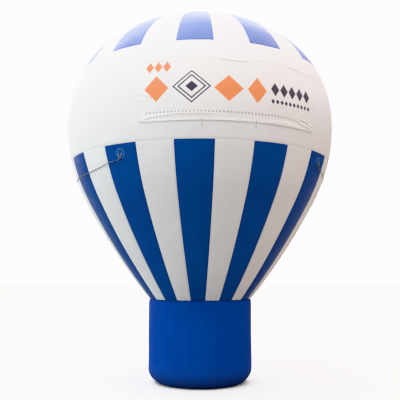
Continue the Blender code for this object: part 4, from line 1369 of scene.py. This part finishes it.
collar = {  # radius and thickness, from the hole outwards
    "radius": (0.1306, 0.1312, 0.136, 0.150, 0.166, 0.1675, 0.168),
    "thick": (0.0010, 0.0024, 0.0022, 0.0018, 0.0018, 0.0013, 0.0005),
    "middle": 0.156,  # radius at which its cloth is measured
    "columns": 96,
}


def makeCollar():
    # A flat ring sewn round the hole in the wall: a polar grid pressed onto the base's curve
    radius, angle = np.meshgrid(collar["radius"], evenAngles(collar["columns"]), indexing="ij")
    x, height = radius * np.sin(angle), base["holeHeight"] + radius * np.cos(angle)
    bearing = math.pi - np.arcsin(np.clip(x / base["radius"], -1, 1))
    outer = onBase(bearing, height, 0.0006 + np.array(collar["thick"])[:, None])
    values = {"uv": together(x, height), "seam": collar["radius"][-1] - radius, "along": angle * collar["middle"]}
    shape = shellShape(outer, onBase(bearing, height, 0.0004), True, **values)
    addPiece("sleeve_collar", shape, "base", "blue_fabric")


makeZip()
makeCollar()


# Inflation sleeve and its strap

sleeve = {
    "z": 0.38,
    "wall": 0.0030,
    # y, half width, half height, corner radius
    "sections": (
        (0.662, 0.1297, 0.1297, 0.1297),
        (0.725, 0.1297, 0.1297, 0.1297),
        (0.790, 0.1360, 0.1350, 0.1340),
        (0.920, 0.1370, 0.1260, 0.1160),
        (1.040, 0.1260, 0.0960, 0.0640),
        (1.112, 0.1146, 0.0696, 0.0050),
        (1.160, 0.1146, 0.0696, 0.0050),
    ),
    "rows": 110,
    "columns": 240,
    "folds": 22,
    "foldDepth": 0.0075,
    "sag": 0.010,
    "clothRadius": 0.12,  # radius at which its cloth is measured
}


def roundedLoop(halfWidth, halfHeight, corner, columns):
    # A rectangle with round corners: at each angle the corner's radius, plus the flat sides' half lengths,
    # which change sign within a short turn as the angle crosses an axis
    angle = evenAngles(columns)
    x = (halfWidth - corner) * np.clip(2.2 * np.cos(angle), -1, 1) + corner * np.cos(angle)
    z = (halfHeight - corner) * np.clip(2.2 * np.sin(angle), -1, 1) + corner * np.sin(angle)
    return x, z


def makeSleeve():
    # Loops along Y. Folds are waves round each loop that only press inwards, deeper towards the strap, and the
    # upper side sags in the middle
    s = sleeve
    place, *sizes = np.array(s["sections"]).T
    around, end = evenAngles(s["columns"]), place[-1]
    y = np.linspace(place[0], end, s["rows"])[:, None]
    halfWidth, halfHeight, corner = (np.interp(y, place, size) for size in sizes)
    deep = fade(y, 0.74, 1.06) * (1 - fade(y, 1.085, 1.116))
    wave = np.sin(s["folds"] * around + 1.4 * np.sin(3 * around + 2 * y) + 1.5 * np.sin(8 * y))
    second = np.sin(s["folds"] * 0.5 * around + 2 * np.sin(2 * around + 9 * y) + 14 * (y - 0.8))
    press = s["foldDepth"] * deep * (0.30 * (1 - wave) + 0.25 * (1 - second))
    press = press + 0.0015 * fade(y, 0.72, 0.80) * (1 + np.sin(5 * around + 30 * y))
    walls = []
    for depth, wall in ((1, 0), (0.9, s["wall"])):
        x, z = roundedLoop(halfWidth, halfHeight, np.maximum(corner, 0.004), s["columns"])
        share = 1 - (press * depth + wall) / np.hypot(x, z)
        x, z = x * share, z * share
        z = z - s["sag"] * fade(y, 0.74, 0.90) * (1 - fade(y, 0.95, 1.08)) * fade(z, 0.03, 0.12)
        walls.append(together(x, y, s["z"] + z))
    cloth = together(around * s["clothRadius"], y)
    shape = shellShape(*walls, True, uv=cloth, seam=end - cloth[..., 1], along=cloth[..., 0])
    addPiece("air_sleeve", shape, "base", "blue_fabric", "inflation_sleeve", sharp=60)
    print("sleeve made")


strap = {
    "place": (1.124, 1.150),
    "thick": 0.0022,
    "columns": 200,
    "round": 0.74,  # length of the loop
    "buckle": (0.013, 0.017, 0.004),  # half width and half height to the corners' middles, corner radius
    "buckleWire": 0.0022,
    "buckleRise": 0.012,
    "bars": (0.006, 0.016),  # distance from the buckle's middle, half length
    "tail": (0.0115, 0.105, 0.0010),  # half width, length, half thickness
}


def makeStrap():
    # The loop follows the sleeve's last section, the buckle is a tube along a rectangle with round corners, and
    # the tail is a ribbon that starts over a small hump and stands off more with the cube of its share
    (low, high), columns = strap["place"], strap["columns"]
    middle, level, wire = (low + high) / 2, sleeve["z"], strap["buckleWire"]
    y = np.array([low, low + 0.0008, low + 0.003, middle, high - 0.003, high - 0.0008, high])[:, None]
    full = np.array([0.35, 0.85, 1, 1, 1, 0.85, 0.35])[:, None]
    _, halfWidth, halfHeight, corner = sleeve["sections"][-1]
    walls = []
    for grow in (0.0005 + strap["thick"] * full, 0.0004 + 0 * full):
        x, z = roundedLoop(halfWidth + grow, halfHeight + grow, corner + grow, columns)
        walls.append(together(x, y, level + z))
    shape = shellShape(*walls, True, uv=together(y, np.arange(columns) / columns * strap["round"]))
    addPiece("strap_loop", shape, "strap", "strap_webbing", "sleeve_strap")

    side = halfWidth + 0.0005 + strap["thick"]
    wide, tall, bend = strap["buckle"]
    corners = ((wide, tall, 0), (-wide, tall, 90), (-wide, -tall, 180), (wide, -tall, 270))
    loop = np.concatenate([arc((x, z), bend, start, start + 90, 6) for x, z, start in corners])
    path = together(side + 0.0042, middle + loop[:, 0], level + strap["buckleRise"] + loop[:, 1])
    parts = [tubeShape(path, (1, 0, 0), wire, 12, closed=True)]
    away, reach = strap["bars"]
    for z in (away, -away):
        bar = [[side + 0.0036, middle + end, level + strap["buckleRise"] + z] for end in (-reach, reach)]
        parts.append(tubeShape(bar, (1, 0, 0), wire - 0.0004, 12))
    addPiece("strap_buckle", joinedShape(parts), "steel", "ring_steel")

    wide, length, thick = strap["tail"]
    t = np.linspace(0, 1, 30)
    x = side + 0.0006 + 0.006 * bell(t - 0.04, 0.07) + 0.010 * t**3
    line = together(x, middle, level + 0.022 - length * t)
    across, thick = wide * np.array([-1, -0.95, 0, 0.95, 1]), thick * np.array([0.5, 1, 1, 1, 0.5])
    tail = ribbonShape(line, (0, 1, 0), (1, 0, 0), across, thick, line[:, 2])
    addPiece("strap_tail", tail, "strap", "strap_webbing")
    print("strap made")


makeSleeve()
makeStrap()


# Blower. Its own axes: x towards the base, y up, z along the shaft to the intake side

blower = {
    "place": (1.38, 0.22),  # Y and Z of the shaft
    "width": 0.22,
    "wall": 0.006,
    "spiralStart": 0.165,
    "spiralEnd": 0.225,
    "duct": 0.13,
    "reach": 0.26,
    "intake": 0.105,
    "shaftHole": 0.020,
    "bead": 0.0030,
    "beadEnd": 0.212,
    "proud": 0.0007,  # how far a cover stands proud of the wall's edge
    "foot": (0.196, 0.050),
    "footSpread": 0.115,
    "pad": 0.014,
    "screws": 11,
    "screwInset": 0.013,
    "screwHead": (0.0042, 0.0026),
    # radius and height
    "boss": ((0, 0.0030), (0.0070, 0.0030), (0.0078, 0.0022), (0.0084, -0.001), (0, -0.001)),
    "lip": ((0.105, 0.104), (0.1052, 0.1100), (0.1062, 0.1120), (0.1085, 0.1130), (0.1125, 0.1130),
            (0.1150, 0.1118), (0.1165, 0.1090), (0.1165, 0.104)),
    "motorRim": ((0.078, 0.0030), (0.0810, 0.0030), (0.0820, 0), (0.078, 0)),
    "rib": (0.060, 0.0040, 0.0040),
    "ribRadius": 0.108,
    "ribs": 12,
    "ribStart": 15,
    "ribGap": (100, 140),  # degrees with no rib, where the switch box stands
    "gusset": 0.006,
    "gussets": (-0.07, 0, 0.07),
}


def atShaft(shapes):
    # Joined, and brought from the blower's own axes to the room's
    shape = joinedShape(shapes)
    x, y, z = shape["points"].T
    return shape | {"points": together(z, blower["place"][0] - x, blower["place"][1] + y)}


def spiral(steps, inset=0.0):
    # From the tongue down and round to the top: the radius grows evenly with the angle
    b = blower
    tongue = math.asin((b["spiralEnd"] - b["duct"]) / b["spiralStart"])
    share = np.linspace(0, 1, steps)
    radius = b["spiralStart"] + (b["spiralEnd"] - b["spiralStart"]) * share - inset
    angle = tongue - (tongue + 1.5 * math.pi) * share
    return together(radius * np.cos(angle), radius * np.sin(angle))


def coverScrews(shape, height):
    # The same small shape at each of a cover's screws, on both covers
    b, placed = blower, []
    angle = np.radians(np.linspace(28, -262, b["screws"]))
    radius = np.interp(-angle, [-math.radians(35), 1.5 * math.pi], [b["spiralStart"], b["spiralEnd"]])
    for side in (1, -1):
        for reach, (_, way) in zip(radius - b["screwInset"], ways(angle)):
            place = reach * way + [0, 0, side * (b["width"] / 2 + height)]
            placed.append(placedShape(shape, place, np.diag([1, 1, side])))
    return placed


def makeCasing():
    # The wall follows the duct's floor, the spiral and the duct's roof; two covers close its sides
    b = blower
    half, wall, low, high = b["width"] / 2, b["wall"], b["spiralEnd"] - b["duct"], b["spiralEnd"]
    across = np.array([-half, -half + 0.002, 0, half - 0.002, half])[:, None]
    grids = []
    for inset in (0, wall):
        line = np.concatenate([[[b["reach"], low + inset]], spiral(180, inset), [[b["reach"], high - inset]]])
        grids.append(together(*line.T, across))
    parts = [shellShape(*grids)]

    # A cover is a ring from its hole to the spiral, and a web from there to the duct's mouth
    tongue = math.atan2(*spiral(2)[0][::-1])
    angle = np.linspace(tongue, math.pi / 2, 50)
    grow = b["spiralStart"] + (high - b["spiralStart"]) * (angle - tongue) / (math.pi / 2 - tongue)
    bridge = together(grow * np.cos(angle), grow * np.sin(angle))
    rim = np.concatenate([spiral(220)[:-1], bridge[:0:-1]])
    mouth = together(b["reach"], np.linspace(low, high, 50))
    rim, bridge, mouth = (line - b["proud"] * unit(line) for line in (rim, bridge, mouth))
    share = np.array([0, 0.02, 0.5, 0.98, 1.0])[:, None, None]
    roof = np.concatenate([spiral(60), [[0.07, high], [0.14, high], [b["beadEnd"], high]]])
    floorLine = np.array([[b["beadEnd"], low], [0.19, low], [0.16, low], spiral(2)[0]])
    for side, hole in ((1, b["intake"]), (-1, b["shaftHole"])):
        for near, far, wrap in ((hole * unit(rim), rim, True), (bridge, mouth, False)):
            x, y = np.moveaxis(near * (1 - share) + far * share, -1, 0)
            parts.append(shellShape(*(together(x, y, side * z) for z in (half + b["proud"], half - wall)), wrap))
        for line in (roof, floorLine):
            line = np.column_stack([line - 0.0010 * unit(line), np.full(len(line), side * (half - 0.0010))])
            parts.append(tubeShape(smoothPath(line, 0.006), (0, 0, 1), b["bead"], 10))
    parts += coverScrews(turnedShape(b["boss"], 20), 0.0)
    parts.append(turnedShape(b["lip"], 96))
    gapStart, gapEnd = b["ribGap"]
    for angle, way in ways(math.radians(b["ribStart"]) + evenAngles(b["ribs"])):
        if not gapStart < math.degrees(angle) < gapEnd:
            parts.append(barAt(b["rib"], 0.0008, b["ribRadius"] * way - [0, 0, half + 0.0006], angle))
    parts.append(turnedShape([(radius, -half - height) for radius, height in b["motorRim"]], 72))

    casing, pads = [atShaft(parts)], []
    (long, deep), height = b["foot"], b["place"][1] - b["spiralStart"] / 2
    for side in (-1, 1):
        y = b["place"][0] + side * b["footSpread"]
        casing.append(barAt((long, deep, height - 0.003), 0.004, (0, y, (height + 0.003) / 2)))
        for x in b["gussets"]:
            gusset = (b["gusset"], deep + 0.012, height * 0.72)
            casing.append(barAt(gusset, 0.0015, (x, y, height * 0.36 + 0.012)))
        pads.append(barAt((long + 0.004, deep + 0.006, b["pad"]), 0.003, (0, y, b["pad"] / 2)))
    addPiece("casing", joinedShape(casing), "casing", "blower_shell", "blower_housing")
    addPiece("foot_pads", joinedShape(pads), "rubber", "blower_dark")
    print("casing made")


def screwHead(radius, height):
    # A pan head with a round recess: a profile of (radius, height) as shares of its own
    profile = ((0, 0.4), (0.45, 0.4), (0.45, 1), (0.75, 1), (1, 0.45))
    return turnedShape([(radius * r, height * h) for r, h in profile] + [(radius, -0.001), (0, -0.001)], 24)


def makeScrews():
    # One head on each screw boss of the covers and on each clip of the guard
    radius, height = guard["clipScrew"]
    parts = coverScrews(screwHead(*blower["screwHead"]), 0.0030)
    for _, way in ways(math.radians(guard["clipStart"]) + evenAngles(guard["clips"])):
        parts.append(placedShape(screwHead(*guard["screwHead"]), radius * way + [0, 0, height]))
    addPiece("casing_screws", atShaft(parts), "steel", "grille_steel")


guard = {
    "rings": ((0.030, 0.1150), (0.055, 0.1150), (0.080, 0.1150), (0.1035, 0.1150), (0.1200, 0.1132)),
    "wire": 0.0014,
    "spokes": 8,
    "spoke": ((0.010, 0.1174), (0.055, 0.1174), (0.1035, 0.1174), (0.112, 0.1166), (0.121, 0.1150)),
    "boss": ((0, 0.1194), (0.009, 0.1192), (0.0150, 0.1182), (0.0165, 0.1170), (0.0165, 0.1160), (0, 0.1160)),
    "clips": 4,
    "clipStart": 67.5,
    "clip": (0.022, 0.012, 0.0020),
    "clipPlace": (0.1260, 0.1142),
    "clipScrew": (0.1285, 0.1138),
    "screwHead": (0.0046, 0.0028),
}


def makeGuard():
    # Wire rings and spokes over the intake, on four clips
    g = guard
    parts = []
    for radius, height in g["rings"]:
        path = atBearing(evenAngles(96) + math.pi / 2, radius, height)
        parts.append(tubeShape(path, (0, 0, 1), g["wire"], 10, closed=True))
    for _, way in ways(evenAngles(g["spokes"])):
        path = smoothPath([radius * way + [0, 0, height] for radius, height in g["spoke"]], 0.004)
        parts.append(tubeShape(path, (0, 0, 1), g["wire"], 10))
    parts.append(turnedShape(g["boss"], 40))
    radius, height = g["clipPlace"]
    for angle, way in ways(math.radians(g["clipStart"]) + evenAngles(g["clips"])):
        parts.append(barAt(g["clip"], 0.0006, radius * way + [0, 0, height], angle))
    addPiece("intake_guard", atShaft(parts), "steel", "grille_steel", "intake_grille")
    print("guard made")


motor = {
    "start": -0.1104,
    # radius and height
    "profile": ((0, 0), (0.060, 0), (0.066, 0.001), (0.068, 0.003), (0.068, 0.010), (0.062, 0.012), (0.061, 0.014),
                (0.0605, 0.016), (0.0605, 0.074), (0.061, 0.076), (0.062, 0.078), (0.067, 0.080), (0.0675, 0.083),
                (0.0675, 0.090), (0.065, 0.096), (0.058, 0.1015), (0.045, 0.1040), (0, 0.1045)),
    "fins": 36,
    "finDepth": 0.0090,
    "ventShades": 24,
    "ventShade": (0.016, 0.0036, 0.0012),
    "ventShadePlace": (0.036, 0.1042),  # radius, and depth from the motor's start
    "plate": (0.036, 0.018, 0.0012),
    "plateDepth": 0.1046,
    "bolts": 4,
    "boltHead": (0.0040, 0.0030),
    "boltPlace": (0.054, 0.1022),
}


def makeMotor():
    # A turned body whose fins are a comb round it
    m = motor
    start, fins = m["start"], np.zeros(len(m["profile"]))
    fins[7:9] = m["finDepth"]
    comb = np.tile([0, 1, 1, 0, 0, 0], m["fins"])
    body = turnedShape([(radius, start - z) for radius, z in m["profile"]], len(comb), fins, comb)
    addPiece("motor_body", atShaft([body]), "motor", "motor_paint", "blower_motor")
    # The vents are thin black bars on the end: painted shade standing in for the dark inside of vent slots
    (ventRadius, ventDepth), (boltRadius, boltDepth) = m["ventShadePlace"], m["boltPlace"]
    ventShades = [
        barAt(m["ventShade"], 0.0005, ventRadius * way + [0, 0, start - ventDepth], angle)
        for angle, way in ways(evenAngles(m["ventShades"]))
    ]
    ventShades.append(barAt(m["plate"], 0.0004, (0, 0, start - m["plateDepth"])))
    addPiece("motor_vent_shades", atShaft(ventShades), "blackPlastic", "blower_dark")
    bolts = [
        placedShape(screwHead(*m["boltHead"]), boltRadius * way + [0, 0, start - boltDepth], np.diag([1, 1, -1]))
        for _, way in ways(math.radians(45) + evenAngles(m["bolts"]))
    ]
    addPiece("motor_bolts", atShaft(bolts), "steel", "grille_steel")
    print("motor made")


switch = {
    "place": (-0.1303, 1.48, 0.355),
    "size": (0.040, 0.090, 0.060),
    # radius and height
    "gland": ((0, 0.004), (0.0125, 0.004), (0.0125, -0.004), (0.0105, -0.0045), (0.0098, -0.0120), (0.0090, -0.0165),
              (0.0066, -0.0190), (0, -0.0192)),
    "nut": ((0, -0.0005), (0.0138, -0.0005), (0.0144, -0.0015), (0.0144, -0.0060), (0.0138, -0.0070), (0, -0.0070)),
    "rocker": (0.0050, 0.0135, 0.0180),
    "rockerFrame": (0.0030, 0.034, 0.026),
    "rockerLean": 9,
    "rockerInset": 0.014,  # from the box's middle
    "screws": (0.038, 0.0235),  # from the face's middle
    "screwHead": (0.0032, 0.0018),
    "plate": (0.0010, 0.026, 0.018),
    "plateInset": 0.020,
}


def makeSwitch():
    # A rounded case with a lid, a rocker in its frame, and a gland below
    s = switch
    (x, y, z), (wide, deep, tall) = s["place"], s["size"]
    face = x - wide / 2
    case = [
        barAt((wide - 0.012, deep, tall), 0.004, (x + 0.006, y, z)),
        barAt((0.0115, deep - 0.001, tall - 0.001), 0.0035, (face + 0.0060, y, z)),
        barAt(s["rockerFrame"], 0.0010, (face - 0.0006, y - s["rockerInset"], z)),
        placedShape(turnedShape(s["gland"], 36), (x, y, z - tall / 2)),
        placedShape(turnedShape(s["nut"], 6), (x, y, z - tall / 2)),
    ]
    addPiece("switch_case", joinedShape(case), "blackPlastic", "blower_dark", "blower_switch_box")
    rocker = []
    for side in (-1, 1):
        place = (face - 0.0022, y - s["rockerInset"] + side * 0.0062, z)
        rocker.append(barAt(s["rocker"], 0.0008, place, math.radians(side * s["rockerLean"])))
    addPiece("switch_rocker", joinedShape(rocker), "rocker", "blower_dark")
    (along, up), toFace = s["screws"], [[0, 0, -1], [1, 0, 0], [0, 1, 0]]
    screws = [
        placedShape(screwHead(*s["screwHead"]), (face, y + dy, z + dz), toFace)
        for dy in (-along, along)
        for dz in (-up, up)
    ]
    screws.append(barAt(s["plate"], 0.0003, (face - 0.0003, y + s["plateInset"], z)))
    addPiece("switch_screws", joinedShape(screws), "steel", "grille_steel")
    print("switch made")


handle = {
    "front": -0.200,  # its front post from the shaft
    "length": 0.150,
    "rise": 0.052,
    "tube": 0.0085,
    "bend": 0.026,
    "grip": 0.0112,
    "gripInset": 0.036,  # from each post
    "gripRibs": 10,
    # radius and height
    "plate": ((0, 0.0034), (0.0125, 0.0034), (0.0165, 0.0026), (0.0180, 0.0008), (0.0180, 0), (0, 0)),
    "screwSide": 0.0138,
    "screwHead": (0.0028, 0.0018),
}


def makeHandle():
    # A bent tube with a ribbed grip, on two plates
    h = handle
    low, begin = blower["place"][1] + blower["spiralEnd"] + 0.0006, blower["place"][0] + h["front"]
    top, end, bend = low + h["rise"], begin + h["length"], h["bend"]
    bends = arc((begin + bend, top - bend), bend, 180, 90, 9), arc((end - bend, top - bend), bend, 90, 0, 9)
    side = np.concatenate([[[begin, low], [begin, low + 0.012]], *bends, [[end, low + 0.012], [end, low]]])
    path = smoothPath(np.column_stack([0 * side[:, 0], side]), 0.004)
    addPiece("handle_tube", tubeShape(path, (1, 0, 0), h["tube"], 20), "blackPlastic", "blower_dark", "blower_handle")
    y = np.linspace(begin + h["gripInset"], end - h["gripInset"], 60)
    radius = h["grip"] + 0.0006 * np.cos(fullTurn * h["gripRibs"] * (y - y[0]) / (y[-1] - y[0]))
    radius = radius - 0.0022 * (bell(y - y[0], 0.002) + bell(y - y[-1], 0.002))
    addPiece("handle_grip", tubeShape(together(0, y, top), (1, 0, 0), radius, 28), "rubber", "blower_dark")
    plates = [placedShape(turnedShape(h["plate"], 40), (0, place, low)) for place in (begin, end)]
    addPiece("handle_plates", joinedShape(plates), "blackPlastic", "blower_dark")
    screws = [
        placedShape(screwHead(*h["screwHead"]), (x, place, low + 0.0032))
        for place in (begin, end)
        for x in (-h["screwSide"], h["screwSide"])
    ]
    addPiece("handle_screws", joinedShape(screws), "steel", "grille_steel")
    print("handle made")


makeCasing()
makeScrews()
makeGuard()
makeMotor()
makeSwitch()
makeHandle()

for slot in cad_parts["blower_impeller"].material_slots:
    slot.material = materials["impeller"]
print("blower made")
